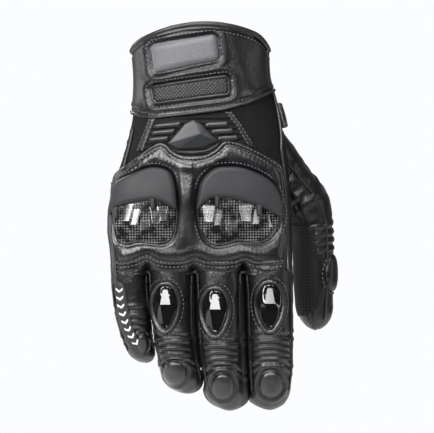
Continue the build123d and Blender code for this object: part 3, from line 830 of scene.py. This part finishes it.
def facets(outline, top, height):
    """The height of a pyramid whose flat faces run from each side of the outline to its top."""
    outline = np.asarray(outline, float)

    def extra(x, z, d):
        lowest = np.full(np.shape(x), 1e9)
        for a, b in zip(outline, np.roll(outline, -1, 0)):
            n = np.array([-(b - a)[1], (b - a)[0]])
            reach = (top - a) @ n
            lowest = np.minimum(lowest, ((x - a[0]) * n[0] + (z - a[1]) * n[1]) / reach)
        return height * np.clip(lowest, 0, 1)

    return extra


badge = patch("wrist_badge_pyramid", hand, evenly(BADGE, 0.8, closed=True), 1.2, 0.8, 0.7, RUBBER,
              facets(BADGE, BADGE_TOP, 2.2), spacing=0.6)
# the crescent is dark leather laid as painted shade in the recess below the badge
shade_crescent = patch("wrist_painted_shade_crescent", hand, SHADE_CRESCENT, 0.6, 0.8, 1.0, DARK_LEATHER)
fix(badge, "hand", "matte_rubber", "wrist_badge")
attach(shade_crescent, "hand")
for i, seam in enumerate(WRIST_SEAMS):
    line = np.array(seam, float)
    strip = rounded([*(line - [2.3, 0]), *(line[::-1] + [2.3, 0])], 0.7)
    seam_strip = patch(f"wrist_seam_strip_{i}", hand, strip, 0.5, 1.0, 1.1, LEATHER, spacing=0.6)
    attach(seam_strip, "hand")
    for shift in (-1.3, 1.3):
        stitches(threads, on_hand(evenly([(x + shift, z) for x, z in seam], 0.7), 1.5))

# ------------------------------------------------------------------ knuckle panel
WINDOWS = (OUTER_WINDOW, INNER_WINDOW)
COLUMN_X = -7.8  # the middle of the column between the windows


def knuckle_extra(x, z, d):
    """What stands on the knuckle panel: its grooved rim, window borders, column and puckers."""
    groove = 0.3 + 0.45 * smooth((z + 128) / 10)  # shallow along the finger roots
    h = 0.5 * ridge(d, 6.5, 2.5) - groove * ridge(d, 2.9, 0.9)
    for window in WINDOWS:
        near = distance_to(window, x, z, True)
        inside = contains(window, x, z)
        h += np.where(inside, -1.2, -1.2 * ridge(near, 0, 0.8) + 0.35 * ridge(near, 5.0, 2.6))
    column = np.exp(-(((x - COLUMN_X) / 4.6) ** 4)) * smooth((-79 - z) / 7)
    h += column * (1.1 * smooth((z + 140) / 14) + 0.9 * ridge(z, -103, 9))
    h += 0.4 * np.cos((x - COLUMN_X) * 0.17) * ridge(z, -137.5, 3.6)
    h += 0.16 * np.sin(x * 0.5 + 2 * np.sin(z * 0.23)) * ridge(z, -84, 5)
    h += 0.09 * np.sin(x * 2.5 + 1.6 * np.sin(z * 0.5)) * ridge(d, 6.0, 2.5)
    return h


panel = patch("knuckle_panel_leather", hand, KNUCKLE, 0.2, 1.7, 2.2, SMOOTH_LEATHER, knuckle_extra,
              spacing=0.75)
fix(panel, "hand", "black_leather", "knuckle_panel", fill=0.5)
top_line = curve_through(KNUCKLE_TOP, 0.8)
for drop, height in ((1.8, 1.75), (4.6, 2.05)):
    stitches(threads, on_hand(top_line - [0, drop], height))
PANEL_X, ROW_REACH = -0.2, 50.5  # the windows' rows of stitches stop short of the panel's sides
for window in WINDOWS:
    line = moved_out(window, 2.1)
    beyond = np.flatnonzero(np.abs(line[:, 0] - PANEL_X) > ROW_REACH)
    if len(beyond):
        line = np.roll(line, -(beyond.max() + 1), axis=0)
    line = line[np.abs(line[:, 0] - PANEL_X) <= ROW_REACH]
    stitches(threads, on_hand(line, 2.05), pitch=2.3, length=1.4)
for shift, height in ((1.7, 1.6), (-1.2, 0.3)):
    stitches(threads, on_hand(BASE_EDGE + [0, shift], height), radius=0.45)


def roofs(blocks):
    """Raised blocks, each with a level crest, a flat face up to its top and one down to its foot."""

    def extra(x, z, d):
        total = np.zeros(np.shape(x))
        for cx, crest, half, rise, fall, high in blocks:
            roof = np.minimum((crest + rise - z) / rise, (z - crest + fall) / fall)
            roof = np.minimum(roof, (half + 1.6 - np.abs(x - cx)) / 1.6)
            total = np.maximum(total, high * np.clip(roof, 0, 1))
        return total

    return extra


def domes(spots):
    """Soft domes, each with its middle, its half width, its half length and its height."""

    def extra(x, z, d):
        total = np.zeros(np.shape(x))
        for cx, cz, wide, long, high in spots:
            total += high * np.exp(-(np.abs((x - cx) / wide) ** 2 + np.abs((z - cz) / long) ** 2))
        return total

    return extra


def post_outline(x, top):
    """A narrow foot that runs down from the hood's edge."""
    return rounded([(x - 1.9, top + 2), (x + 1.9, top + 2), (x + 1.3, top - 5.4), (x - 1.3, top - 5.4)],
                   1.0, 0.5)


SHELLS = {  # window, edge of the hood, blocks of the shell, x of the hood's feet
    "outer": (OUTER_WINDOW, OUTER_HOOD_EDGE, [
        (-42.6, -117.4, 2.5, 9.5, 7.5, 2.4), (-25.4, -118.6, 2.2, 9.5, 7, 2.4),
        (-38, -119.6, 2.1, 9, 6, 2.0), (-21.4, -117.2, 1.6, 9, 7, 1.9),
        (-46.8, -121, 1.6, 7, 5, 1.5), (-32, -123, 2.4, 7, 5, 1.0),
    ], (-48.1, -27.2)),
    "inner": (INNER_WINDOW, INNER_HOOD_EDGE, [
        (5.4, -117.6, 2.4, 9.5, 8, 2.4), (27.0, -117.4, 2.6, 9.5, 8, 2.4),
        (10.0, -119.8, 2.0, 9, 7, 2.0), (32.2, -119.2, 2.2, 9, 7, 2.0),
        (43.4, -121, 2.4, 8, 6, 1.7), (18.5, -123, 2.8, 7, 5, 1.0),
    ], (10.2, 34.4)),
}
for side, (window, edge, blocks, posts) in SHELLS.items():
    shell = patch(f"{side}_shell_weave", hand, moved_out(window, -0.5), 0.4, 2.7, 3.4, CARBON, roofs(blocks),
                  spacing=0.5)
    hood_spots = [(x + 2, z + 18, half * 4.6, 9, 0.8) for x, z, half, *_ in blocks[:2]]
    hood = patch(f"{side}_hood_rubber", hand, above(moved_out(window, -0.2), edge), 3.3, 2.3, 2.4, HOOD,
                 domes(hood_spots), skirt=2.4, spacing=0.6)
    for i, x in enumerate(posts):
        foot = patch(f"{side}_post_{i}", hand, post_outline(x, np.interp(x, *np.array(edge).T)),
                     3.6, 2.2, 1.3, HOOD, skirt=2.0, spacing=0.6)
        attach(foot, "hand")
    fix(shell, "hand", "weave_shell", f"{side}_knuckle_shell")
    fix(hood, "hand", "matte_rubber", f"{side}_knuckle_hood")

# ------------------------------------------------------------------ palm side
heel_outline = curve_through([
    (-36, -96), (-22, -91.5), (-8, -96), (-3, -110), (-6, -124), (-18, -130), (-32, -126), (-39, -112),
], closed=True)
heel = patch("palm_heel_slider", hand, heel_outline, 0.2, 3.0, 4.5, SMOOTH_LEATHER, side=BACK)
fix(heel, "hand", "black_leather", "palm_heel_pad", fill=0.8)
stitches(threads, on_hand(moved_out(heel_outline, 2.0), 0.3, BACK))
for seam in PALM_SEAMS:
    for shift in (-1.4, 1.4):
        stitches(threads, on_hand(evenly([(x, z + shift) for x, z in seam], 0.8), 0.25, BACK))


def tape_outline(low_x, high_x, low_z, high_z):
    return rounded([(low_x, high_z), (high_x, high_z), (high_x, low_z), (low_x, low_z)], 1.0)


for node, outline, base, height, foot, body in (
        ("flap_loop_patch", tape_outline(-4, 28, -38.5, -18), 0.1, 0.7, -0.6, "hand"),
        ("strap_loop_patch", tape_outline(-6, 30, -61, -48), 0.1, 0.7, -0.6, "hand"),
        ("flap_hook_patch", tape_outline(2, 23, -36.5, -19), 1.02, 0.02, 1.8, "closure_flap"),
        ("strap_hook_patch", tape_outline(4, 28, -60, -49), 1.02, 0.02, 1.9, "closure_strap")):
    tape = patch(f"{node}_tape", hand, outline, base, height, 0.6, TAPE, side=BACK, skirt=foot)
    fix(tape, body, "hook_and_loop", node)

flap_outline = rounded([(-32, -16), (20, -16), (26, -22), (26, -33), (20, -38.5), (-32, -38.5)], 3)
flap = patch("cuff_flap_leather", hand, flap_outline, 2.0, 1.7, 1.6, LEATHER,
             lambda x, z, d: 0.3 * ridge(d, 4.6, 1.5) - 0.5 * ridge(d, 2.5, 0.7), side=BACK, skirt=1.8)
flap_back = patch("cuff_flap_inside", hand, moved_out(flap_outline, -0.2), 1.83, 0.01, 0.5, DARK_LEATHER,
                  side=BACK, skirt=1.82)
fix(flap, "closure_flap", "black_leather", "cuff_flap")
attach(flap_back, "closure_flap")
flap_threads = Pile()
stitches(flap_threads, on_hand(moved_out(flap_outline, -2.5), 3.2, BACK))

STRAP_TOP, STRAP_BOTTOM = -47.2, -61.8
STRAP_ROOT_X = -34.2  # where the strap is sewn down
strap_angles = np.linspace(math.radians(154), math.radians(-14), 220)
strap_angles = strap_angles[x_at(strap_angles, STRAP_LEVEL) > STRAP_ROOT_X]


def strap_height(p, angle, z):
    """The lift of the strap, which is rounded at its edges and its two ends."""
    across = np.minimum(STRAP_TOP - z, z - STRAP_BOTTOM)
    along = np.minimum((angle - strap_angles[-1]) * 45, (strap_angles[0] - angle) * 30)
    d = np.minimum(across, along)
    return 2.0 + 1.6 * edge_rise(d, 1.2) - 0.35 * ridge(d, 2.4, 0.6) + 0.12 * ripple(p, 14, 21)


strap = skin("wrist_strap_leather", hand, strap_angles, rows_between(STRAP_TOP, STRAP_BOTTOM, 40), LEATHER,
             strap_height, closed=False)
strap_back = skin("wrist_strap_inside", hand, strap_angles, rows_between(STRAP_TOP, STRAP_BOTTOM, 12),
                  DARK_LEATHER, level(1.95), closed=False)
fix(strap, "closure_strap", "black_leather", "wrist_strap")
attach(strap_back, "closure_strap")
strap_threads = Pile()
for z in (STRAP_TOP - 2.4, STRAP_BOTTOM + 2.4):
    stitches(strap_threads, hand.point(strap_angles[4:-4], z, 3.35))

# edge piping down both sides of the hand
piping_z = np.linspace(-13, -147, 150)
piping_angle = -np.radians(np.interp(-piping_z, [0, 50, 75, 95, 147], [9, 12, 24, 22, 24]))
sweep(trims, hand.point(piping_angle, piping_z, 0.7), 1.0)
outer_z = piping_z[55:]  # from below the cuff band
outer_angle = -math.pi + np.radians(np.interp(-outer_z, [50, 95, 147], [16, 22, 24]))
sweep(trims, hand.point(outer_angle, outer_z, 0.3), 0.8)


# ------------------------------------------------------------------ fingers
ROOT_Z = -137  # a finger's skin starts here, inside the hand
ARMOUR = {  # middle x, upper end, half width, length
    "ring": (-20.6, -155.6, 6.9, 26.6), "middle": (9.0, -158.2, 7.2, 27.0),
    "index": (41.6, -154.6, 7.1, 27.6),
}
# Plate outline and raised table, as shares of the plate's half width and of its length
PLATE_EDGE = [
    (0, 0), (-0.5, 0.04), (-0.86, 0.2), (-1, 0.44), (-0.82, 0.7), (-0.42, 0.92), (0, 1.0), (0.42, 0.92),
    (0.82, 0.7), (1, 0.44), (0.86, 0.2), (0.5, 0.04),
]
TABLE = [(-0.2, 0.1), (-0.44, 0.43), (-0.17, 0.9), (0.17, 0.9), (0.44, 0.43), (0.2, 0.1)]
TABLE_RISE = [1.0, 2.9, 1.0, 1.0, 2.9, 1.0]
RIBS = {"little": (-172, -182), "ring": (-187.5, -199.5), "middle": (-190, -203), "index": (-187, -200)}
TIP_PAD = {  # middle x, middle z, half width, half length
    "little": (-34.6, -191.0, 3.6, 5.6), "ring": (-15.4, -208.6, 7.2, 7.0),
    "middle": (13.8, -216.4, 6.6, 7.6), "index": (42.6, -215.0, 7.0, 7.6),
}
STRIP_EDGE = curve_through([
    (-50.6, -154), (-45.0, -156), (-42.6, -168), (-39.6, -181), (-35.2, -191.5), (-32.6, -197.5),
    (-34.6, -199.6), (-39.2, -197.2), (-44.0, -189.5), (-47.6, -178), (-49.6, -166),
], closed=True)
CHEVRON = np.array([(-1.9, 1.5), (0, -0.2), (1.9, 1.5), (1.9, 0), (0, -1.7), (-1.9, 0)])
CHEVRONS = [  # x, z and lean in radians
    (-47.6, -158.5, 0), (-47.2, -163.2, 0.1), (-46.6, -167.9, 0.15), (-45.6, -172.6, 0.25),
    (-44.3, -177.2, 0.3), (-42.7, -181.6, 0.4), (-40.8, -185.8, 0.5), (-38.4, -189.8, 0.6),
]
SIDE_ANGLE = math.radians(26)  # where the back of a finger meets its side strips


def side_gaps(name):
    """How far a finger's two side strips swell towards the neighbours, and about which depth."""
    heights = np.linspace(-240, -136, 105)
    order = list(fingers)
    swell, middle = [], []
    for step in (-1, 1):
        at = order.index(name) + step
        if at not in range(len(order)):
            swell.append(np.full(len(heights), 0.3))
            middle.append(np.zeros(len(heights)))
            continue
        left, right = (fingers[order[k]].section(heights) for k in sorted((at, at - step)))
        gap = (right[0] - right[2]) - (left[0] + left[2])
        swell.append(np.clip((gap - 0.2) / 2, 0.2, 2.6))
        middle.append((left[1] + right[1]) / 2)
    return heights, swell, middle


def finger_height(name):
    """The lift of a finger's leather: ribs, seams, side strips, creases and the rim of the tip pad."""
    tube = fingers[name]
    gap_z, swell, middle = side_gaps(name)
    rib_top, rib_bottom = RIBS[name]
    pad_x, pad_z, pad_w, pad_h = TIP_PAD[name]

    def height(p, angle, z):
        x, low = p[..., 0], p[..., 2]
        cx, _, half_w, _, _ = tube.section(low)
        side = np.abs(x - cx) / np.maximum(half_w, 1e-3)
        front = smooth(-np.sin(angle) * 6)
        h = 0.2 * ripple(p, 11, len(name)) + 0.08 * ripple(p, 5, 30 + len(name))
        h -= 1.8 * smooth((low + 142.5) / 4.5)  # the root starts inside the hand
        in_ribs = smooth((rib_top + 0.6 - low) / 1.2) * smooth((low - rib_bottom + 0.6) / 1.2)
        core = smooth((0.86 - side) / 0.12) * front
        sagging = low + 1.3 * np.clip(side, 0, 1) ** 2
        h += in_ribs * core * (1.45 * np.abs(np.sin((sagging - rib_top) * math.pi / 3.7)) ** 0.8 - 0.6)
        strip = np.exp(-((np.sin(angle) / 0.42) ** 4)) * smooth((low - tube.last_z + 14) / 12)
        sides = []
        for turn, full, mid in zip((1, -1), swell, middle):  # neighbours interlock, so that no light shows
            lean = np.tanh((p[..., 1] - np.interp(low, gap_z, mid)) / 1.6)
            sides.append(np.interp(low, gap_z, full) * (1 + 0.6 * turn * lean))
        h += strip * np.where(np.cos(angle) < 0, *sides) * smooth((-140 - low) / 5)
        cap_seam = rib_bottom - 1.4 - 6.0 * np.clip(side, 0, 1) ** 3
        edges = np.minimum(np.abs(low - rib_top - 1.4), np.abs(low - cap_seam))
        h += front * seam_line(edges, 0.55, 0.8, 0.45, 2.4, 1.3)
        groove = np.minimum(np.abs(np.sin(angle) + math.sin(SIDE_ANGLE)) * half_w, 9)
        h -= 0.5 * ridge(groove, 0, 0.8) * (low > rib_bottom - 12)
        crease = np.sin((low - rib_top) * 1.05) * ridge(low, (rib_top + rib_bottom) / 2, 7)
        h += (1 - front) * 0.35 * crease * smooth(np.sin(angle) * 4)
        round_pad = np.hypot((x - pad_x) / pad_w, (low - pad_z) / pad_h)
        h += front * -0.6 * ridge(round_pad, 1.14, 0.09)
        h += front * 0.5 * ridge(round_pad, 1.38, 0.14)
        return h

    return height


def on_plate(points, plate_x, plate_z, half, length):
    """Points of an armour plate, given as shares of its half width and of its length."""
    return np.array([(plate_x + u * half, plate_z - v * length) for u, v in points])


def armour_plate(name, tube, place, count=96):
    """A gloss plate: a folded flat table in the middle and curved sides falling to a rounded rim."""
    edge = evenly(curve_through(on_plate(PLATE_EDGE, *place), 0.3, closed=True), 0.3, closed=True)
    edge = edge[np.linspace(0, len(edge), count, endpoint=False).astype(int)]
    table = on_plate(TABLE, *place)
    loop = np.vstack([table, table[:1]])
    along = lengths_along(loop)
    turn = np.arctan2(*(edge - table.mean(0)).T[::-1])
    at = np.interp(np.linspace(0, 1, count, endpoint=False), np.linspace(0, 1, len(along)), along)
    inner = points_at(loop, along, at)
    height = np.interp(at, along, [*TABLE_RISE, TABLE_RISE[0]])
    first_turn = np.arctan2(*(inner[0] - table.mean(0))[::-1])
    edge = np.roll(edge, -np.argmin(np.abs(np.angle(np.exp(1j * (turn - first_turn))))), axis=0)
    crest = tube.seen(np.full(count, place[0]), inner[:, 1], 0.0)[:, 1]
    top_points = np.stack([inner[:, 0], crest - height, inner[:, 1]], -1)
    rim = tube.seen(*moved_out(edge, -0.5).T, 1.2)
    rings = [tube.seen(*edge.T, -0.7), tube.seen(*edge.T, 0.8), rim]
    for share in (0.25, 0.5, 0.75):
        bulge = np.array([0, -1.3, 0]) * share * (1 - share)
        rings.append(rim * (1 - share) + top_points * share + bulge)
    rings.append(top_points)
    faces = grid_faces(len(rings), count, True)
    base = (len(rings) - 1) * count
    corner = [int(np.argmin(np.linalg.norm(inner - p, axis=1))) for p in table]
    upper = list(range(corner[4], count)) + list(range(0, corner[1] + 1))
    lower = list(range(corner[1], corner[4] + 1))
    faces += [[base + i for i in upper], [base + i for i in lower]]
    obj = make(name, np.vstack(rings), faces, GLOSS)
    face_outwards(obj)
    fold = {base + corner[1], base + corner[4]}
    for edge_line in obj.data.edges:
        ends = set(edge_line.vertices)
        edge_line.use_edge_sharp = min(ends) >= base or ends == fold
    return obj


def on_side(angle, z):
    return np.abs(np.sin(angle)) < math.sin(SIDE_ANGLE)


def finger_armour(name, tube, row):
    """The plate on a finger, the collar round it and the row of stitches round that."""
    shape = curve_through(on_plate(PLATE_EDGE, *ARMOUR[name]), 0.6, closed=True)
    collar = patch(f"{name}_collar_leather", tube, moved_out(shape, 2.6), 0.1, 1.9, 1.5, SMOOTH_LEATHER,
                   lambda x, z, d: -1.5 * smooth((d - 2.0) / 0.7), spacing=0.6)
    plate_piece = armour_plate(f"{name}_armour_plate", tube, ARMOUR[name])
    stitches(row, tube.seen(*moved_out(shape, 3.8).T, 0.25), pitch=2.6, length=1.8, radius=0.32)
    fix(collar, f"{name}_base", "black_leather", f"{name}_armour_collar")
    fix(plate_piece, f"{name}_base", "gloss_armour", f"{name}_armour")


def little_strip(tube, hinge_z):
    """The strip down the little finger's outer edge, with its pale chevrons."""
    strip = patch("little_strip_rubber", tube, STRIP_EDGE, 0.1, 1.1, 1.0, HOOD, spacing=0.6)
    bend(strip, "little_base", "little_end", hinge_z)
    stand_for(strip, "matte_rubber", "little_strip_patch")
    for i, (x, z, lean) in enumerate(CHEVRONS):
        turn = np.array([[math.cos(lean), math.sin(lean)], [-math.sin(lean), math.cos(lean)]])
        chevron = patch(f"little_chevron_{i}", tube, rounded(CHEVRON @ turn + [x, z], 0.25, 0.4), 1.15, 0.2,
                        0.3, PALE_MARK, spacing=0.5)
        bend(chevron, "little_base", "little_end", hinge_z)


ring_angles = full_turn(150)
for name, data in FINGERS.items():
    tube, cut_z, flex_z = fingers[name], data["cut_z"], data["flex_z"]
    lift = finger_height(name)
    root = skin(f"{name}_root_leather", tube, ring_angles, np.linspace(ROOT_Z, cut_z, 70), LEATHER, lift)
    end = skin(f"{name}_end_leather", tube, ring_angles, rows_to_tip(tube, cut_z, 90), LEATHER, lift)
    second_material(root, DARK_LEATHER, ring_angles, on_side)
    side_end = tube.last_z + 8  # the side strips stop short of the tip
    second_material(end, DARK_LEATHER, ring_angles, lambda a, z: on_side(a, z) & (z > side_end))
    bend(root, "hand", f"{name}_base", WEB_Z)
    bend(end, f"{name}_base", f"{name}_end", flex_z)
    stand_for(root, "black_leather", f"{name}_back", f"{name}_sides", f"{name}_palm", fill=0.3)
    stand_for(end, "black_leather", f"{name}_tip", *([f"{name}_rib_panel"] if name in ARMOUR else []),
              fill=0.3)
    pad_x, pad_z, pad_w, pad_h = TIP_PAD[name]
    tip_pad = patch(f"{name}_tip_pad_leather", tube, oval(pad_x, pad_z, pad_w, pad_h, 40, 0.9), 0.0, 1.8,
                    pad_w * 0.8, SMOOTH_LEATHER, spacing=0.7)
    fix(tip_pad, f"{name}_end", "black_leather", f"{name}_tip_pad", fill=0.8)
    base_threads, base_trims, end_threads, end_trims = Pile(), Pile(), Pile(), Pile()
    for angle in (-SIDE_ANGLE, -math.pi + SIDE_ANGLE):
        upper, lower = np.linspace(-155, flex_z + MARGIN, 60), np.linspace(flex_z - MARGIN, pad_z - 4, 40)
        sweep(base_trims, tube.point(angle, upper, 0.35), 0.62)
        sweep(end_trims, tube.point(angle, lower, 0.35), 0.62)
    rib_top, rib_bottom = RIBS[name]
    across = np.linspace(-0.72, 0.72, 40)
    tilt = -1.4 * across if name != "little" else 0
    for z, pile in ((rib_top + 3.2, base_threads), (rib_bottom - 3.0, end_threads)):
        cx, _, half_w, _, _ = tube.section(z)
        stitches(pile, tube.seen(cx + across * half_w, z + tilt, 0.3), pitch=2.7, length=1.9, radius=0.3)
    if name in ARMOUR:
        finger_armour(name, tube, base_threads)
    else:
        little_strip(tube, flex_z)
    for kind, mat, piles in (("stitches", THREAD, (base_threads, end_threads)),
                             ("piping", PIPING, (base_trims, end_trims))):
        for part, pile in zip(("base", "end"), piles):
            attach(pile.made(f"{name}_{part}_{kind}", mat), f"{name}_{part}")

# piping loops where the fingers part
tubes = list(fingers.values())
for left, right in zip(tubes, tubes[1:]):
    sides = [left.point(-SIDE_ANGLE, z, 0.5) for z in (-154.5, -151, -149)]
    others = [right.point(-math.pi + SIDE_ANGLE, z, 0.5) for z in (-149, -151, -154.5)]
    crown = (sides[-1] + others[0]) / 2 + [0, -1.4, 1.2]
    sweep(trims, curve_through([*sides, crown, *others], 0.6), 0.75)

# ------------------------------------------------------------------ thumb
THUMB_RIBS = (-117.0, -136.5)
THUMB_WEB_Z, THUMB_FLEX_Z = -110.0, -127.5  # where the thumb's two joints bend
THUMB_R = 12.0  # the radius that the thumb's patches are unrolled from
NAIL_ANGLE = math.radians(-14)


def thumb_height(p, angle, z):
    """The lift of the thumb's leather: ribs, folds, creases and two seams."""
    h = 0.25 * ripple(p, 12, 41) + 0.1 * ripple(p, 5, 42)
    outer = smooth((np.cos(angle) + 0.25) / 0.4)
    ribs = smooth((THUMB_RIBS[0] - z) / 1.5) * smooth((z - THUMB_RIBS[1]) / 1.5)
    h += ribs * outer * (1.4 * np.abs(np.sin((z - THUMB_RIBS[0]) * math.pi / 4.8)) - 0.6)
    h += (1 - outer) * ribs * 0.4 * np.sin(z * 1.3 + 1.5 * np.sin(angle))
    folds = np.sin(z * 0.62 + 2.6 * angle) * ridge(z, -96, 9)
    h += 0.5 * folds * outer
    creases = np.sin(z * 0.8 - 3.2 * angle + 0.8 * np.sin(z * 0.31)) * ridge(z, -101, 8)
    h += 0.45 * creases * smooth(-np.sin(angle) * 3)
    h += 1.0 * ridge(z, -106, 6.0) * outer
    for seam_angle in (-1.9, 1.9):
        off = np.abs(np.angle(np.exp(1j * (angle - seam_angle)))) * THUMB_R
        h += seam_line(off, 0.5, 0.8, 0.3, 2.4, 1.4)
    return h


root = skin("thumb_root_leather", thumb, ring_angles, np.linspace(-66, THUMB_CUT_Z, 80), SHADED_THUMB_LEATHER,
            thumb_height)
end = skin("thumb_end_leather", thumb, ring_angles, rows_to_tip(thumb, THUMB_CUT_Z, 100), SHADED_THUMB_LEATHER,
           thumb_height)
bend(root, "hand", "thumb_lower", THUMB_WEB_Z)
bend(end, "thumb_lower", "thumb_end", THUMB_FLEX_Z)
stand_for(root, "black_leather", "thumb_root", "thumb_base", fill=0.4)
stand_for(end, "black_leather", "thumb_tip", "thumb_rib_panel", fill=0.4)

nail_outline = oval(NAIL_ANGLE * THUMB_R, -149, 9.5, 11.5, 48)
nail = patch("thumb_nail_pad_leather", thumb, nail_outline, 0.0, 3.0, 9.0, SHADED_THUMB_LEATHER, arc=THUMB_R)
# the grip's outline, in degrees round the thumb and in height
GRIP_EDGE = [
    (-178, -119.5), (-96, -119.5), (-84, -127), (-78, -142), (-79, -156), (-90, -167), (-115, -173),
    (-150, -174), (-178, -170),
]
grip_outline = curve_through([(math.radians(a) * THUMB_R, z) for a, z in GRIP_EDGE], closed=True)
grip = patch("thumb_grip_cloth", thumb, grip_outline, 0.1, 0.7, 1.0, SHADED_GRIP, arc=THUMB_R)
fix(nail, "thumb_end", "black_leather", "thumb_nail_pad", fill=0.8)
bend(grip, "thumb_lower", "thumb_end", THUMB_FLEX_Z)
stand_for(grip, "grip_fabric", "thumb_grip_patch")
second_material(root, SHADED_GRIP, ring_angles,
                lambda a, z: (a < -1.6) & (a > -3.1) & (z < -106 - 15 * np.clip((a + 2.5) / 0.9, 0, 1)))
thumb_threads = Pile()
nail_row = moved_out(nail_outline, 1.6)
stitches(thumb_threads, thumb.point(nail_row[:, 0] / THUMB_R, nail_row[:, 1], 0.25), pitch=2.8)
# the piped seam down the front of the thumb, given by its angle in degrees at each height
SEAM_Z = [-178, -157, -137.6, -121.8, -106, -90, -78]
SEAM_ANGLE = [-62, -50, -48, -52, -58, -66, -76]
for name, low_z, high_z, bodies, hinge_z in (
        ("thumb_root_piping", THUMB_CUT_Z, -76, ("hand", "thumb_lower"), THUMB_WEB_Z),
        ("thumb_end_piping", -177, THUMB_CUT_Z, ("thumb_lower", "thumb_end"), THUMB_FLEX_Z)):
    line_z = np.linspace(low_z, high_z, 70)
    pile = Pile()
    sweep(pile, thumb.point(np.radians(np.interp(line_z, SEAM_Z, SEAM_ANGLE)), line_z, 0.45), 0.75)
    bend(pile.made(name, PIPING), *bodies, hinge_z)

for name, pile, mat, body in (("hand_stitches", threads, THREAD, "hand"),
                              ("hand_piping", trims, PIPING, "hand"),
                              ("flap_stitches", flap_threads, THREAD, "closure_flap"),
                              ("strap_stitches", strap_threads, THREAD, "closure_strap"),
                              ("thumb_stitches", thumb_threads, THREAD, "thumb_end")):
    piece = pile.made(name, mat)
    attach(piece, body)
    if name == "hand_piping":
        stand_for(piece, "black_leather", "cuff_binding")

# ------------------------------------------------------------------ floor, light and camera
FLOOR_Z = -300
floor = make("floor", [(x, y, FLOOR_Z) for x, y in ((-420, -160), (440, -160), (440, 450), (-420, 450))],
             [(0, 1, 2, 3)], material("floor_paper", (0.82, 0.82, 0.83), 0.8))
world = bpy.data.worlds.new("studio")
world.use_nodes = True
add = partial(add_node, world.node_tree)
direction = add("TexCoord", "Generated", {})
depth = add("SeparateXYZ", "Y", {"Vector": direction})
# bright behind the glove and dim behind the camera, but the backdrop itself is always white
fade = add("MapRange", "Result", {"Value": depth, "From Min": 0.0, "From Max": 0.9, "To Min": 0.01,
                                  "To Max": 0.35}, interpolation_type="SMOOTHSTEP")
backdrop = add("LightPath", "Is Camera Ray", {})
strength = add("Mix", "Result", {"Factor": backdrop, "A": fade, "B": 1.0})
feed(world.node_tree, world.node_tree.nodes["Background"], {"Color": (0.97, 0.98, 1.0, 1),
                                                            "Strength": strength})
bpy.context.scene.world = world
LAMP_TARGET = (0.01, 0, -0.12)


def lamp(name, place, power, size):
    """A rectangular lamp that points at the glove. Places and sizes are in metres."""
    data = bpy.data.lights.new(name, "AREA")
    data.energy = power
    data.shape = "RECTANGLE"
    data.size, data.size_y = size
    obj = add_object(name, data)
    obj.location = place
    obj.rotation_mode = "QUATERNION"
    obj.rotation_quaternion = (Vector(LAMP_TARGET) - Vector(place)).to_track_quat("-Z", "Y")


lamp("key", (-0.62, -0.85, 0.24), 16, (0.26, 0.6))
lamp("right", (0.42, -1.1, 0.24), 3, (0.2, 0.26))
lamp("upper", (-0.06, -1.15, 0.42), 6, (0.34, 0.2))
lamp("top", (0.0, -0.42, 0.8), 9, (0.5, 0.2))
lamp("side", (0.9, -0.2, -0.02), 1.5, (0.08, 0.8))
lamp("front", (-0.01, -1.3, 0.17), 4.5, (0.17, 0.3))
lamp("left rim", (-0.95, 0.3, 0.0), 3.5, (0.25, 0.7))
lamp("behind", (-0.3, 0.9, 0.6), 12, (0.5, 0.5))

LENS, SENSOR = 200, 36
VIEW_WIDTH = 0.2604  # metres, at the glove
camera_data = bpy.data.cameras.new("camera")
camera_data.lens = LENS
camera_data.sensor_width = SENSOR
camera = add_object("camera", camera_data)
camera.location = (0.0102, -VIEW_WIDTH * LENS / SENSOR, -0.1147)
camera.rotation_euler = (math.pi / 2, 0, 0)
bpy.context.scene.camera = camera
bpy.context.scene.view_settings.view_transform = "Standard"
